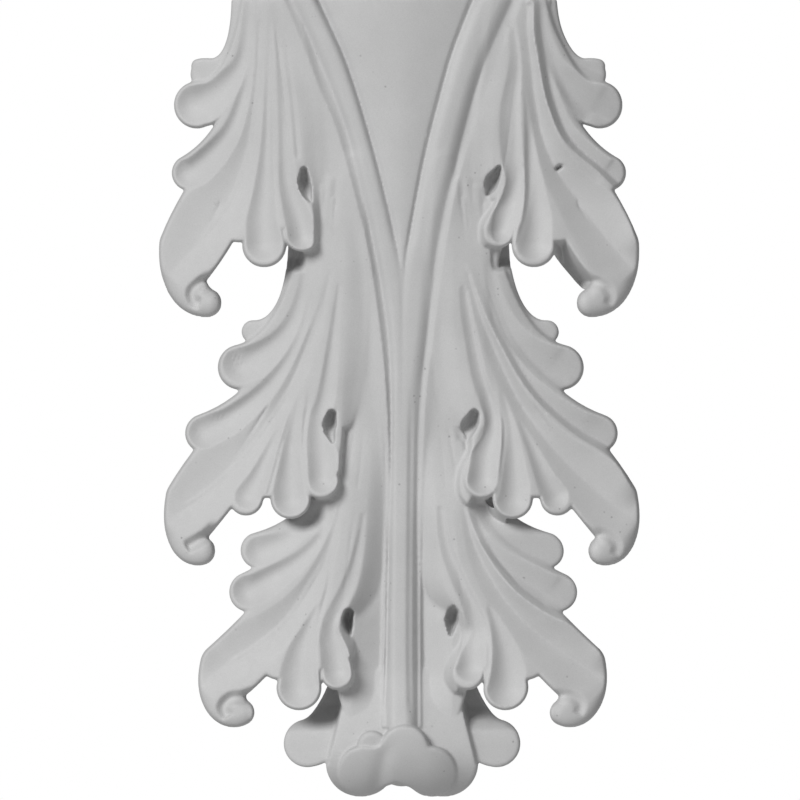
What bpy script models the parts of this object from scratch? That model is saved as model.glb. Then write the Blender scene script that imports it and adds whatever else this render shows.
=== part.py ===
"""Bracket corbel: three tiers of acanthus leaves over a tapering shaft, one casting, flat at the back."""

import bmesh
import bpy
import numpy as np

MM = 0.001

# Overall sizes in millimetres, x across, z up, both from the middle of the back
TOP_Z = 175.0
BOTTOM_Z = -175.0
DEPTH_LOW = 50.0
DEPTH_GAIN = 38.0
DEPTH_POWER = 1.6
SIDE_FALL_LOW = 18.0
SIDE_FALL_GAIN = 14.0
SIDE_FALL_POWER = 2.2
BLADE = 9.5
LIP = 2.8
ROOT_BACK = 12.0
EDGE_ROUND = 1.3
BACK_ROUND = 5.0

# Half width of the plain trunk behind the leaves at stations of height
TRUNK_Z = (-176.0, -150.0, -133.0, -100.0, -50.0, 40.0, 58.0, 100.0, 180.0)
TRUNK_HALF = (16.0, 22.0, 27.0, 34.0, 38.0, 44.0, 45.0, 56.0, 66.0)

# Lines of the shaft at stations of height: half distance from the middle line
SHAFT_Z = (-180.0, -140.0, -80.0, -40.0, -15.0, 0.0) + tuple(np.linspace(30.0, 180.0, 11))
MIDDLE_SHIFT = (
    0.5, 0.5, 0.5, 1.0, 1.5, 1.5,
    1.5, 1.2, 1.0, 0.5, 0.0, 0.0, 0.0, -0.5, -1.5, -1.8, -2.0,
)
PANEL_EDGE = (
    0.0, 0.0, 0.0, 0.0, 0.0, 0.0,
    0.2, 0.8, 1.6, 3.6, 6.6, 9.8, 14.0, 18.6, 24.0, 30.0, 37.0,
)
PANEL_GROOVE = (
    0.0, 0.0, 0.0, 0.0, 0.0, 0.0,
    0.4, 1.6, 3.2, 5.8, 9.2, 12.6, 17.2, 21.8, 27.4, 33.4, 40.4,
)
RIB_TOP = (
    0.0, 0.0, 0.0, 0.0, 0.3, 0.8,
    2.8, 4.4, 6.8, 9.6, 13.2, 16.8, 21.4, 26.2, 31.8, 38.0, 45.0,
)
RIB_GROOVE = (
    6.6, 6.6, 6.2, 5.0, 5.0, 5.2,
    6.8, 8.2, 10.8, 14.0, 17.6, 21.4, 26.0, 31.0, 36.8, 43.2, 50.0,
)
CREST = (
    7.4, 7.4, 7.2, 6.8, 7.0, 7.8,
    10.2, 12.0, 14.0, 17.2, 21.0, 25.0, 31.0, 36.6, 42.4, 48.0, 54.0,
)
RIB_RISE = (
    0.0, 0.0, 0.0, 0.0, 0.0, 0.2,
    0.6, 0.8, 1.0, 1.2, 1.4, 1.6, 1.8, 1.8, 1.8, 1.8, 1.8,
)
GROOVE_SINK = (
    5.2, 5.2, 5.0, 4.0, 3.2, 3.2,
    3.0, 3.0, 3.2, 3.6, 3.8, 4.0, 4.2, 4.2, 4.0, 3.6, 3.2,
)
CREST_SINK = (
    5.0, 5.0, 4.8, 1.8, 0.4, 0.0,
    0.0, 0.0, 0.0, 0.0, 0.0, 0.0, 0.0, 0.0, 0.0, 0.0, 0.0,
)
VALLEY_SINK = (
    6.0, 6.0, 6.5, 6.0, 5.5, 5.5,
    5.5, 5.5, 5.5, 5.5, 5.0, 4.6, 4.0, 3.0, 2.0, 1.2, 1.0,
)
PANEL_CROWN = 2.6
PANEL_STEP = 2.4
CHANNEL_RUN = 7.5
TRUNK_FOOT_Z = -168.0

# Leaf lobes, each a hollow finger: root, leaving point, arriving point, tip, three half widths, hollow share
TOP_LEAF = {
    "ear": ((72.2, 182.0), (72.4, 158.0), (74.0, 145.0), (85.7, 142.7), 2.4, 3.2, 7.0, 0.30),
    "upper": ((66.6, 182.0), (67.0, 152.0), (74.0, 131.0), (89.7, 129.3), 3.4, 6.6, 10.3, 0.38),
    "middle": ((63.0, 178.0), (67.0, 132.0), (77.5, 110.5), (93.2, 99.6), 1.6, 4.8, 7.8, 0.40),
    "tip_outer": ((63.6, 164.0), (65.0, 118.0), (86.0, 98.0), (96.9, 68.0), 1.2, 6.8, 9.6, 0.32),
    "tip_inner": ((64.6, 122.0), (67.0, 98.0), (72.0, 81.0), (91.5, 57.5), 1.4, 5.8, 7.8, 0.32),
    "hook": ((84.0, 66.0), (98.0, 54.0), (98.6, 50.0), (92.4, 45.8), 6.8, 8.9, 8.4, 0.32),
    "hook_end": ((92.4, 45.8), (91.0, 43.2), (88.0, 42.4), (85.1, 43.3), 8.4, 7.0, 5.8, 0.34),
    "lower": ((62.4, 184.0), (60.5, 144.0), (62.0, 100.0), (60.3, 67.8), 2.6, 4.7, 9.7, 0.38),
    "slip": ((60.4, 182.0), (57.4, 134.0), (56.8, 100.0), (53.4, 72.0), 1.6, 2.5, 2.2, 0.60),
    "inner": ((58.6, 184.0), (53.4, 138.0), (51.4, 98.0), (43.7, 73.3), 1.7, 2.9, 8.4, 0.38),
    "roll": ((57.8, 184.0), (49.0, 148.0), (44.6, 114.0), (41.0, 80.0), 2.2, 4.2, 5.6, 0.16),
    "web": ((64.0, 182.0), (62.0, 140.0), (68.0, 110.0), (71.2, 78.6), 6.0, 10.0, 9.6, 0.0),
}
MIDDLE_LEAF = {
    "ear": ((47.4, 80.0), (46.0, 50.0), (52.0, 31.0), (65.4, 30.0), 2.8, 3.2, 5.0, 0.30),
    "upper": ((41.0, 84.0), (42.0, 40.0), (54.0, 20.0), (71.0, 14.4), 3.0, 7.0, 9.9, 0.38),
    "middle": ((35.5, 92.0), (38.5, 30.0), (58.0, -2.0), (86.8, -14.6), 2.2, 5.2, 8.5, 0.40),
    "tip_outer": ((31.5, 96.0), (38.0, 22.0), (77.5, -12.0), (94.4, -43.0), 1.6, 6.8, 9.5, 0.32),
    "tip_inner": ((30.4, 88.0), (34.0, 12.0), (64.0, -24.0), (90.0, -54.0), 1.4, 5.4, 7.8, 0.32),
    "hook": ((84.0, -46.0), (97.0, -57.0), (97.4, -60.0), (93.4, -64.6), 7.4, 9.3, 9.0, 0.32),
    "hook_end": ((93.4, -64.6), (92.0, -66.4), (90.0, -66.6), (87.5, -65.2), 9.0, 7.4, 5.6, 0.34),
    "small": ((28.4, 84.0), (35.0, 12.0), (60.0, -15.0), (68.4, -43.2), 1.2, 5.0, 7.5, 0.36),
    "lower": ((26.4, 96.0), (31.0, 26.0), (49.6, 0.0), (48.8, -43.2), 1.3, 4.7, 8.9, 0.38),
    "inner": ((24.4, 104.0), (28.0, 40.0), (42.0, 2.0), (35.4, -35.5), 1.3, 4.2, 7.8, 0.38),
    "roll": ((23.0, 106.0), (23.4, 50.0), (28.0, 10.0), (30.6, -27.0), 1.8, 4.6, 5.4, 0.16),
    "web": ((34.0, 70.0), (38.0, 20.0), (54.0, 0.0), (59.4, -35.4), 5.0, 8.0, 7.6, 0.0),
}
LOW_LEAF = {
    "ear": ((30.0, -26.0), (36.0, -50.0), (48.0, -60.0), (63.0, -66.0), 3.0, 5.4, 7.9, 0.30),
    "upper": ((25.0, -20.0), (31.0, -50.0), (47.0, -73.0), (67.2, -84.3), 2.6, 5.6, 8.7, 0.38),
    "tip_outer": ((21.6, -8.0), (28.0, -60.0), (57.0, -94.0), (79.0, -116.4), 1.4, 6.2, 9.8, 0.32),
    "tip_inner": ((30.0, -58.0), (42.0, -94.0), (56.0, -108.0), (75.0, -123.6), 1.0, 6.2, 9.0, 0.32),
    "hook": ((70.0, -119.0), (81.4, -126.0), (81.6, -130.6), (77.6, -133.6), 8.2, 9.4, 9.0, 0.32),
    "hook_end": ((77.6, -133.6), (76.0, -135.8), (73.0, -136.8), (70.0, -137.0), 9.0, 7.0, 5.2, 0.34),
    "lower": ((18.6, -4.0), (23.0, -60.0), (43.0, -92.0), (45.2, -126.2), 1.4, 4.9, 9.9, 0.38),
    "inner": ((16.6, 0.0), (20.0, -50.0), (36.0, -92.0), (28.3, -120.0), 1.3, 3.7, 7.2, 0.38),
    "roll": ((14.6, 0.0), (16.0, -50.0), (20.6, -78.0), (25.2, -109.0), 1.8, 4.4, 5.0, 0.18),
    "web": ((26.0, -50.0), (34.0, -84.0), (44.0, -100.0), (54.0, -113.6), 5.0, 8.0, 9.2, 0.0),
}
FOOT_LEAF = {
    "side": ((22.0, -108.0), (25.0, -138.0), (33.0, -149.4), (41.6, -151.0), 5.0, 9.4, 10.4, 0.16),
}
FOOT_END = {
    "end": ((14.0, -108.0), (15.0, -130.0), (17.0, -150.0), (18.2, -159.6), 9.0, 12.4, 15.2, 0.0),
    "end_middle": ((0.0, -108.0), (0.0, -130.0), (0.0, -150.0), (-0.6, -156.6), 12.0, 12.0, 14.4, 0.0),
}
LOBE_STEPS = 20
FOOT_SET_BACK = 6.5
FOOT_CURL = 11.0
FOOT_CURL_Z = -118.0
FOOT_CURL_RUN = 48.0
FOOT_THICK = 13.5
FOOT_END_RISE = 3.0
FOOT_END_ROUND = 9.0
FOOT_TURN_Z = -146.0
FOOT_TURN_RUN = 16.0

# Leaf tiers: lobes, height where the leaf springs, height of its lowest lobes, lift there, inner roll width
TIERS = {
    "top_leaf": (TOP_LEAF, 236.0, 70.0, 11.0, 5.5),
    "middle_leaf": (MIDDLE_LEAF, 112.0, -42.0, 12.0, 8.0),
    "low_leaf": (LOW_LEAF, 6.0, -120.0, 11.0, 4.5),
}
INNER_SIDE = {
    "top_leaf": (
        (70.0, 84.0, 105.0, 120.0, 135.0, 150.0, 165.0, 182.0),
        (32.5, 32.0, 34.0, 35.6, 39.6, 46.4, 52.6, 59.0),
    ),
    "middle_leaf": ((-45.0, -15.0, 15.0, 45.0, 75.0, 112.0), (22.0, 19.0, 17.0, 16.0, 18.0, 21.5)),
    "low_leaf": ((-122.0, -105.0, -90.0, -60.0, -20.0, 4.0), (18.0, 16.5, 14.5, 10.5, 8.5, 9.5)),
}
RIGHT_SHIFT = {
    "top_leaf": ((60.0, 100.0, 130.0, 150.0, 164.0, 182.0), (2.6, 2.8, 3.4, 3.6, 6.0, 7.4)),
    "middle_leaf": ((-60.0, 0.0, 30.0, 60.0), (0.2, 0.8, 1.6, 3.0)),
    "low_leaf": ((-140.0, -84.0, -60.0), (0.0, -1.0, 0.2)),
}
SPRING_SINK = 8.0
SPRING_RUN = 54.0
LIFT_POWER = 2.0
ROLL_DEPTH = 9.0

# Undersides that show beyond the edge on the right: strips of the leaf set back from its front
UNDERSIDES = {
    "top_leaf": {
        "hook": ((65.0, 73.0), (70.0, 68.0), (75.0, 62.0), (80.4, 53.0), 3.4, 4.2, 3.6, 0.0),
        "hook_end": ((80.4, 46.6), (81.0, 45.0), (81.6, 44.0), (82.6, 43.4), 5.4, 6.4, 6.6, 0.0),
        "flank": ((38.0, 88.0), (33.6, 80.0), (32.8, 74.0), (36.0, 70.0), 3.0, 3.4, 3.8, 0.0),
    },
    "middle_leaf": {
        "hook": ((62.0, -40.0), (68.0, -44.0), (76.0, -50.0), (83.4, -58.0), 3.0, 4.0, 3.4, 0.0),
        "flank": ((24.0, -32.0), (23.4, -36.0), (24.0, -40.0), (28.0, -42.6), 3.6, 4.0, 4.4, 0.0),
        "fold": ((37.0, -44.0), (36.0, -48.0), (38.0, -51.0), (42.0, -52.0), 4.0, 4.2, 4.6, 0.0),
    },
    "low_leaf": {
        "flank": ((21.0, -106.0), (18.4, -113.0), (18.0, -119.0), (21.6, -126.0), 2.8, 3.6, 4.0, 0.0),
    },
}
UNDER_SINK = 5.5

# Sunk middles of the hooked tips: centre, radius, depth
CURLS = {
    "top_leaf": (84.6, 46.0, 7.4, 4.5),
    "middle_leaf": (87.6, -62.6, 7.6, 5.0),
    "low_leaf": (72.2, -135.0, 7.6, 5.0),
}

# Drilled eyes: top, bottom, half width, for each tier, and how far each cutter reaches either way
EYES = {
    "top_leaf": ((43.2, 101.5), (40.6, 86.5), 2.0),
    "middle_leaf": ((31.0, -5.0), (29.6, -19.5), 2.5),
    "low_leaf": ((23.4, -91.6), (22.6, -103.5), 2.5),
}
EYE_FRONT = 22.0
EYE_FLOOR = 4.0

# Rolled tip at the foot: middle lobe, left lobe and right lobe as centre and radius
TIP_LOBES = (
    (1.4, -153.0, 10.0),
    (-17.0, -161.8, 10.6),
    (12.2, -161.8, 10.4),
    (-8.0, -161.0, 9.0),
    (3.0, -162.0, 9.0),
)
TIP_BLEND = 0.9
TIP_CREST_Z = -147.0
TIP_ROLL = 25.0
TIP_RISE = 9.0
TIP_ROOT = 16.0
TIP_EDGE_ROUND = 5.0
FURROW = (-8.5, -160.0, 0.2, 3.5, 1.2)

CAST_COLOUR = (0.56, 0.565, 0.57)
CAST_ROUGHNESS = 0.62
COARSE = 1.25
TRUNK_BOX = (-67.0, 67.0, -168.0, 177.0)
FOOT_BOX = (-54.0, 54.0, -176.0, -98.0)
TIP_BOX = (-30.0, 26.0, -174.0, -141.0)
TOP_CUT = ((-120.0, -150.0, TOP_Z), (120.0, 50.0, TOP_Z + 30.0))
TRUNK_FACES = 2400
LEAF_FACES = 1350
FOOT_FACES = 520
TIP_FACES = 240
BODY_FACES = 9400
EYE_SIDES = 16


def clear_objects():
    for item in list(bpy.data.objects):
        bpy.data.objects.remove(item, do_unlink=True)


def smooth(value):
    value = np.clip(value, 0.0, 1.0)
    return value * value * (3.0 - 2.0 * value)


def along(z, heights, values):
    """A value read off its stations of height, with rounded joints."""
    heights = np.asarray(heights)
    values = np.asarray(values)
    slopes = np.gradient(values, heights)
    z = np.clip(z, heights[0], heights[-1])
    place = np.clip(np.searchsorted(heights, z) - 1, 0, len(heights) - 2)
    span = heights[place + 1] - heights[place]
    run = (z - heights[place]) / span
    first = (1.0 + 2.0 * run) * (1.0 - run) ** 2 * values[place]
    second = run * (1.0 - run) ** 2 * span * slopes[place]
    third = run**2 * (3.0 - 2.0 * run) * values[place + 1]
    fourth = run**2 * (run - 1.0) * span * slopes[place + 1]
    return first + second + third + fourth


def height_share(z):
    return np.clip((z - BOTTOM_Z) / (TOP_Z - BOTTOM_Z), 0.0, 1.05)


def stem_depth(x, z):
    """How far the smooth body stands off the wall."""
    share = height_share(z)
    middle = DEPTH_LOW + DEPTH_GAIN * share**DEPTH_POWER
    fall = (SIDE_FALL_LOW + SIDE_FALL_GAIN * share) * np.abs(x / 100.0) ** SIDE_FALL_POWER
    return middle - fall


def lobe_spine(row):
    root, leaving, arriving, tip, start, half, end, hollow = row
    run = np.linspace(0.0, 1.0, LOBE_STEPS)[:, None]
    spine = (1.0 - run) ** 3 * np.array(root) + 3.0 * run * (1.0 - run) ** 2 * np.array(leaving)
    spine = spine + 3.0 * run**2 * (1.0 - run) * np.array(arriving) + run**3 * np.array(tip)
    run = run[:, 0]
    swell = 2.0 * half - 0.5 * (start + end)
    width = start * (1.0 - run) ** 2 + 2.0 * swell * run * (1.0 - run) + end * run**2
    return spine, np.maximum(width, 0.8)


def lobe_field(row, x, z):
    """Share of the half width away from the spine of a lobe, and the half width there."""
    spine, width = lobe_spine(row)
    share = np.full(x.shape, 9.0)
    half = np.ones(x.shape)
    reach = width.max() + 3.0
    low = spine.min(axis=0) - reach
    high = spine.max(axis=0) + reach
    near = (x > low[0]) & (x < high[0]) & (z > low[1]) & (z < high[1])
    px = x[near]
    pz = z[near]
    best = np.full(px.shape, 9.0)
    wide = np.ones(px.shape)
    for (ax, az), (bx, bz), start, end in zip(spine[:-1], spine[1:], width[:-1], width[1:]):
        dx = bx - ax
        dz = bz - az
        run = np.clip(((px - ax) * dx + (pz - az) * dz) / (dx * dx + dz * dz), 0.0, 1.0)
        here = start + (end - start) * run
        away = np.hypot(px - ax - dx * run, pz - az - dz * run) / here
        closer = away < best
        best = np.where(closer, away, best)
        wide = np.where(closer, here, wide)
    share[near] = best
    half[near] = wide
    return share, half


def lobes_field(lobes, x, z):
    """Distance inside the outline of a set of lobes, and the depth of their hollows."""
    inside = np.full(x.shape, -9.0)
    carved = np.zeros(x.shape)
    for row in lobes.values():
        share, half = lobe_field(row, x, z)
        inside = np.maximum(inside, (1.0 - share) * half)
        carved = np.maximum(carved, row[7] * half * (1.0 - share**2))
    return inside, carved


def edge_drop(inside, radius):
    gone = np.clip(1.0 - inside / radius, 0.0, 1.0)
    return radius * (1.0 - np.sqrt(1.0 - gone**2))


def leaf_surface(name, side, x, z):
    """Inside distance, front depth and back depth of one leaf."""
    lobes, spring, foot, lift, roll = TIERS[name]
    across = side * x + (0.5 + 0.5 * side) * along(z, *RIGHT_SHIFT[name])
    inside, carved = lobes_field(lobes, across, z)
    base = stem_depth(x, z)
    raised = lift * smooth((spring - z) / (spring - foot)) ** LIFT_POWER
    raised = raised - SPRING_SINK * (1.0 - smooth((spring - z) / SPRING_RUN))
    curl_x, curl_z, radius, sunk = CURLS[name]
    carved = carved + sunk * smooth((radius - np.hypot(across - curl_x, z - curl_z)) / 2.4)
    if side > 0:
        under = lobes_field(UNDERSIDES[name], x, z)[0]
        carved = carved + UNDER_SINK * smooth((1.0 - inside) / 1.6) * smooth((under + 1.0) / 1.0)
        inside = np.maximum(inside, under)
    border = across - along(z, *INNER_SIDE[name])
    shoulder = np.clip(1.0 - border / roll, 0.0, 1.0)
    rolled = (raised + ROLL_DEPTH) * (1.0 - np.sqrt(1.0 - shoulder**2))
    front = base + raised - carved - rolled - edge_drop(inside, EDGE_ROUND)
    back = base + raised - BLADE + edge_drop(inside, BACK_ROUND)
    trunk = smooth((along(z, TRUNK_Z, TRUNK_HALF) + 1.0 - np.abs(x)) / 6.0)
    back = back + trunk * (np.minimum(back, base - ROOT_BACK) - back)
    return inside, front, np.minimum(back, front - LIP)


def shaft_profile(x, z):
    """Height of the shaft, its ribs and grooves over the smooth body."""
    away = np.abs(x - along(z, SHAFT_Z, MIDDLE_SHIFT))
    edge = np.maximum(along(z, SHAFT_Z, PANEL_EDGE), 0.05)
    groove = along(z, SHAFT_Z, PANEL_GROOVE)
    top = along(z, SHAFT_Z, RIB_TOP)
    deep = along(z, SHAFT_Z, RIB_GROOVE)
    crest = along(z, SHAFT_Z, CREST)
    valley = crest + CHANNEL_RUN
    rise = along(z, SHAFT_Z, RIB_RISE)
    sink = along(z, SHAFT_Z, GROOVE_SINK)
    crest_sink = along(z, SHAFT_Z, CREST_SINK)
    valley_sink = along(z, SHAFT_Z, VALLEY_SINK)
    open_share = smooth(groove / 4.0)
    crown = PANEL_CROWN * (groove / 40.0)
    step = PANEL_STEP * open_share

    def part(start, end):
        return np.clip((away - start) / np.maximum(end - start, 0.05), 0.0, 1.0)

    height = -crown * np.clip(away / edge, 0.0, 1.0) ** 2 - step * part(edge, groove)
    lifted = crown + step + rise
    height = height + lifted * (1.0 - (1.0 - part(groove, top)) ** 2)
    height = height - (sink + rise) * part(top, deep) ** 2
    height = height + (sink - crest_sink) * part(deep, crest) ** 2
    return height - (valley_sink - crest_sink) * (1.0 - (1.0 - part(crest, valley)) ** 2)


def trunk_surface(x, z):
    inside = along(z, TRUNK_Z, TRUNK_HALF) - np.abs(x)
    inside = np.minimum(inside, z - TRUNK_FOOT_Z)
    front = stem_depth(x, z) + shaft_profile(x, z) - edge_drop(inside, EDGE_ROUND)
    return inside, front, np.zeros(x.shape)


def foot_surface(x, z):
    """The small leaf at the foot, its end curling forward over two side lobes."""
    sides, carved = lobes_field(FOOT_LEAF, np.abs(x), z)
    end = lobes_field(FOOT_END, np.abs(x), z)[0]
    inside = np.maximum(sides, end)
    curl = np.clip((FOOT_CURL_Z - z) / FOOT_CURL_RUN, 0.0, 1.2) ** 2
    over = smooth(end / 1.6)
    base = stem_depth(x, z) - FOOT_SET_BACK
    front = base + FOOT_CURL * curl - (1.0 - over) * (carved + FOOT_END_RISE)
    front = front - over * edge_drop(end, FOOT_END_ROUND) * smooth((FOOT_TURN_Z - z) / FOOT_TURN_RUN)
    front = front - edge_drop(inside, EDGE_ROUND)
    back = base - FOOT_THICK + 0.7 * FOOT_CURL * curl + edge_drop(inside, BACK_ROUND)
    return inside, front, np.minimum(back, front - LIP)


def tip_surface(x, z):
    """The rolled end that closes the middle rib."""
    blend = np.zeros(x.shape)
    for px, pz, radius in TIP_LOBES:
        blend = blend + np.exp((radius - np.hypot(x - px, z - pz)) / TIP_BLEND)
    inside = TIP_BLEND * np.log(blend + 1e-9)
    down = np.clip((TIP_CREST_Z - z) / TIP_ROLL, -0.3, 0.98)
    drop = TIP_ROLL * (1.0 - np.sqrt(1.0 - down**2))
    front = stem_depth(x, np.full(x.shape, TIP_CREST_Z)) + TIP_RISE - drop
    furrow_x, furrow_z, slant, width, deep = FURROW
    away = (x - furrow_x - slant * (z - furrow_z)) / width
    furrow = np.exp(-(away**2)) * smooth((TIP_CREST_Z - z) / 10.0)
    front = front - deep * furrow - 0.7 * edge_drop(inside, TIP_EDGE_ROUND)
    return inside, front, stem_depth(x, z) - TIP_ROOT


def sheet_cells(inside):
    """Faces of the grid clipped to where the field is positive, with the places of their corners."""
    rows, cols = inside.shape
    places = {}
    order = []
    faces = []

    def corner(key, weight):
        if key not in places:
            places[key] = len(order)
            order.append((key, weight))
        return places[key]

    def crossing(a, b):
        first, second = (a, b) if a < b else (b, a)
        here = inside[first]
        there = inside[second]
        run = min(max(here / (here - there), 0.12), 0.88)
        return corner((first, second), run)

    positive = inside > 0.0
    active = positive[:-1, :-1] | positive[1:, :-1] | positive[:-1, 1:] | positive[1:, 1:]
    for row, col in np.argwhere(active):
        ring = ((row, col), (row, col + 1), (row + 1, col + 1), (row + 1, col))
        within = [bool(positive[place]) for place in ring]
        if sum(within) == 2 and within[0] == within[2]:
            for turn in range(4):
                if within[turn]:
                    own = ring[turn]
                    after = crossing(own, ring[(turn + 1) % 4])
                    before = crossing(ring[(turn + 3) % 4], own)
                    faces.append((before, corner((own, own), 0.0), after))
            continue
        shape = []
        for turn in range(4):
            own = ring[turn]
            following = ring[(turn + 1) % 4]
            if within[turn]:
                shape.append(corner((own, own), 0.0))
            if within[turn] != within[(turn + 1) % 4]:
                shape.append(crossing(own, following))
        for turn in range(1, len(shape) - 1):
            faces.append((shape[0], shape[turn], shape[turn + 1]))
    return order, faces


def sheet_object(name, surface, box, step):
    """A solid between the front and back depths that a surface gives inside its outline."""
    left, right, low, high = box
    across = np.linspace(left, right, max(2, round((right - left) / step)) + 1)
    upward = np.linspace(low, high, max(2, round((high - low) / step)) + 1)
    grid_x, grid_z = np.meshgrid(across, upward)
    inside = surface(grid_x, grid_z)[0]
    order, faces = sheet_cells(inside)
    px = np.empty(len(order))
    pz = np.empty(len(order))
    for index, ((first, second), run) in enumerate(order):
        px[index] = grid_x[first] + (grid_x[second] - grid_x[first]) * run
        pz[index] = grid_z[first] + (grid_z[second] - grid_z[first]) * run
    field, front, back = surface(px, pz)
    count = len(order)
    points = [(a * MM, -d * MM, b * MM) for a, d, b in zip(px, front, pz)]
    points += [(a * MM, -d * MM, b * MM) for a, d, b in zip(px, back, pz)]
    solid = list(faces)
    solid += [(c + count, b + count, a + count) for a, b, c in faces]
    edges = {(a, b) for face in faces for a, b in zip(face, face[1:] + face[:1])}
    for a, b in edges:
        if (b, a) not in edges:
            solid.append((b, a, a + count))
            solid.append((b, a + count, b + count))
    mesh = bpy.data.meshes.new(name)
    mesh.from_pydata(points, [], solid)
    mesh.validate()
    item = bpy.data.objects.new(name, mesh)
    bpy.context.scene.collection.objects.link(item)
    return item


def applied(item):
    """The item with its modifiers made real."""
    graph = bpy.context.evaluated_depsgraph_get()
    mesh = bpy.data.meshes.new_from_object(item.evaluated_get(graph))
    item.modifiers.clear()
    item.data = mesh
    return item


def thinned(item, faces):
    """The item brought down to about a number of triangles, the flatter places first."""
    present = sum(len(face.vertices) - 2 for face in item.data.polygons)
    if present > faces:
        fewer = item.modifiers.new("fewer", "DECIMATE")
        fewer.ratio = faces / present
        fewer.use_collapse_triangulate = True
        applied(item)
    return item


def combined(target, other, operation):
    bond = target.modifiers.new("bond", "BOOLEAN")
    bond.object = other
    bond.operation = operation
    bond.solver = "EXACT"
    applied(target)
    bpy.data.objects.remove(other, do_unlink=True)
    return target


def leaf_form(name, side):
    def surface(x, z):
        return leaf_surface(name, side, x, z)

    return surface


def leaf_box(name, side):
    lobes = TIERS[name][0]
    spines = [lobe_spine(row) for row in lobes.values()]
    low = min((spine[:, 1] - width).min() for spine, width in spines) - 1.0
    high = min(max((spine[:, 1] + width).max() for spine, width in spines) + 1.0, TOP_Z + 2.0)
    near = min((spine[:, 0] - width).min() for spine, width in spines) - 1.0
    far = max((spine[:, 0] + width).max() for spine, width in spines) + 1.0
    ends = sorted((side * (near - 4.0), side * (far + 1.0)))
    return ends[0], ends[1], low, high


def drilled_eye(name, side):
    """The pit drilled beside the inner lobe, as a tapering cutter."""
    (top_x, top_z), (low_x, low_z), half = EYES[name]
    shift = (0.5 + 0.5 * side) * along(np.array([top_z]), *RIGHT_SHIFT[name])[0]
    turn = np.linspace(0.0, 2.0 * np.pi, EYE_SIDES, endpoint=False)
    share = 0.5 - 0.5 * np.cos(turn)
    width = half * (1.15 - 0.75 * share)
    across = side * (top_x + (low_x - top_x) * share + width * np.sin(turn) - shift)
    upward = top_z + (low_z - top_z) * share
    middle = stem_depth(np.array([top_x]), np.array([low_z]))[0]
    points = [(x * MM, -(middle + EYE_FRONT) * MM, z * MM) for x, z in zip(across, upward)]
    points += [(x * MM, -(middle - EYE_FLOOR) * MM, z * MM) for x, z in zip(across, upward)]
    count = EYE_SIDES
    faces = [(i, (i + 1) % count, (i + 1) % count + count, i + count) for i in range(count)]
    faces += [tuple(range(count - 1, -1, -1)), tuple(range(count, 2 * count))]
    mesh = bpy.data.meshes.new("eye")
    mesh.from_pydata(points, [], faces)
    item = bpy.data.objects.new("eye", mesh)
    bpy.context.scene.collection.objects.link(item)
    outward(item)
    return item


def outward(item):
    form = bmesh.new()
    form.from_mesh(item.data)
    bmesh.ops.recalc_face_normals(form, faces=form.faces)
    form.to_mesh(item.data)
    form.free()


def cast_material():
    material = bpy.data.materials.new("primed_casting")
    material.use_nodes = True
    shader = material.node_tree.nodes["Principled BSDF"]
    shader.inputs["Base Color"].default_value = (*CAST_COLOUR, 1.0)
    shader.inputs["Roughness"].default_value = CAST_ROUGHNESS
    shader.inputs["Metallic"].default_value = 0.0
    return material


def cutting_box(name, low, high):
    bpy.ops.mesh.primitive_cube_add(size=1.0)
    item = bpy.context.object
    item.name = name
    item.scale = [(b - a) * MM for a, b in zip(low, high)]
    item.location = [(a + b) * 0.5 * MM for a, b in zip(low, high)]
    bpy.context.view_layer.update()
    item.data.transform(item.matrix_world)
    item.matrix_world.identity()
    return item


def build():
    clear_objects()
    body = sheet_object("corbel", trunk_surface, TRUNK_BOX, COARSE)
    thinned(body, TRUNK_FACES)
    foot = sheet_object("foot", foot_surface, FOOT_BOX, COARSE)
    combined(body, thinned(foot, FOOT_FACES), "UNION")
    tip = sheet_object("tip", tip_surface, TIP_BOX, COARSE)
    combined(body, thinned(tip, TIP_FACES), "UNION")
    for name in TIERS:
        for side in (-1, 1):
            leaf = sheet_object(name, leaf_form(name, side), leaf_box(name, side), COARSE)
            combined(body, thinned(leaf, LEAF_FACES), "UNION")
    thinned(body, BODY_FACES)
    for name in TIERS:
        for side in (-1, 1):
            combined(body, drilled_eye(name, side), "DIFFERENCE")
    combined(body, cutting_box("top_cut", *TOP_CUT), "DIFFERENCE")
    body.data.materials.clear()
    body.data.materials.append(cast_material())
    body.data.shade_smooth()


build()
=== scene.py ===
"""Bracket corbel: the carved casting, its primer, a pale floor, soft studio light and the camera."""

import functools
import math

import bmesh
import bpy
import numpy as np
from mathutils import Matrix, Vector


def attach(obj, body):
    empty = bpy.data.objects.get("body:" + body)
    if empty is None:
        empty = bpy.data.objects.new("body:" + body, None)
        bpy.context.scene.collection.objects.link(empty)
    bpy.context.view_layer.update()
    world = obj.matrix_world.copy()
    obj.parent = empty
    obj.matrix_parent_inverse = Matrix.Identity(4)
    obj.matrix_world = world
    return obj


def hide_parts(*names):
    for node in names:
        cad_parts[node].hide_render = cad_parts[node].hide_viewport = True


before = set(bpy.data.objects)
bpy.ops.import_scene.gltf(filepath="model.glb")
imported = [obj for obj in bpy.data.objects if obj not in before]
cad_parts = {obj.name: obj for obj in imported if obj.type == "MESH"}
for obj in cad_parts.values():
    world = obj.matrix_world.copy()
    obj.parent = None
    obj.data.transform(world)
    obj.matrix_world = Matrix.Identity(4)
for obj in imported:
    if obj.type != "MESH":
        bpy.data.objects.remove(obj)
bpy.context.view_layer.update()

MM = 0.001

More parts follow.
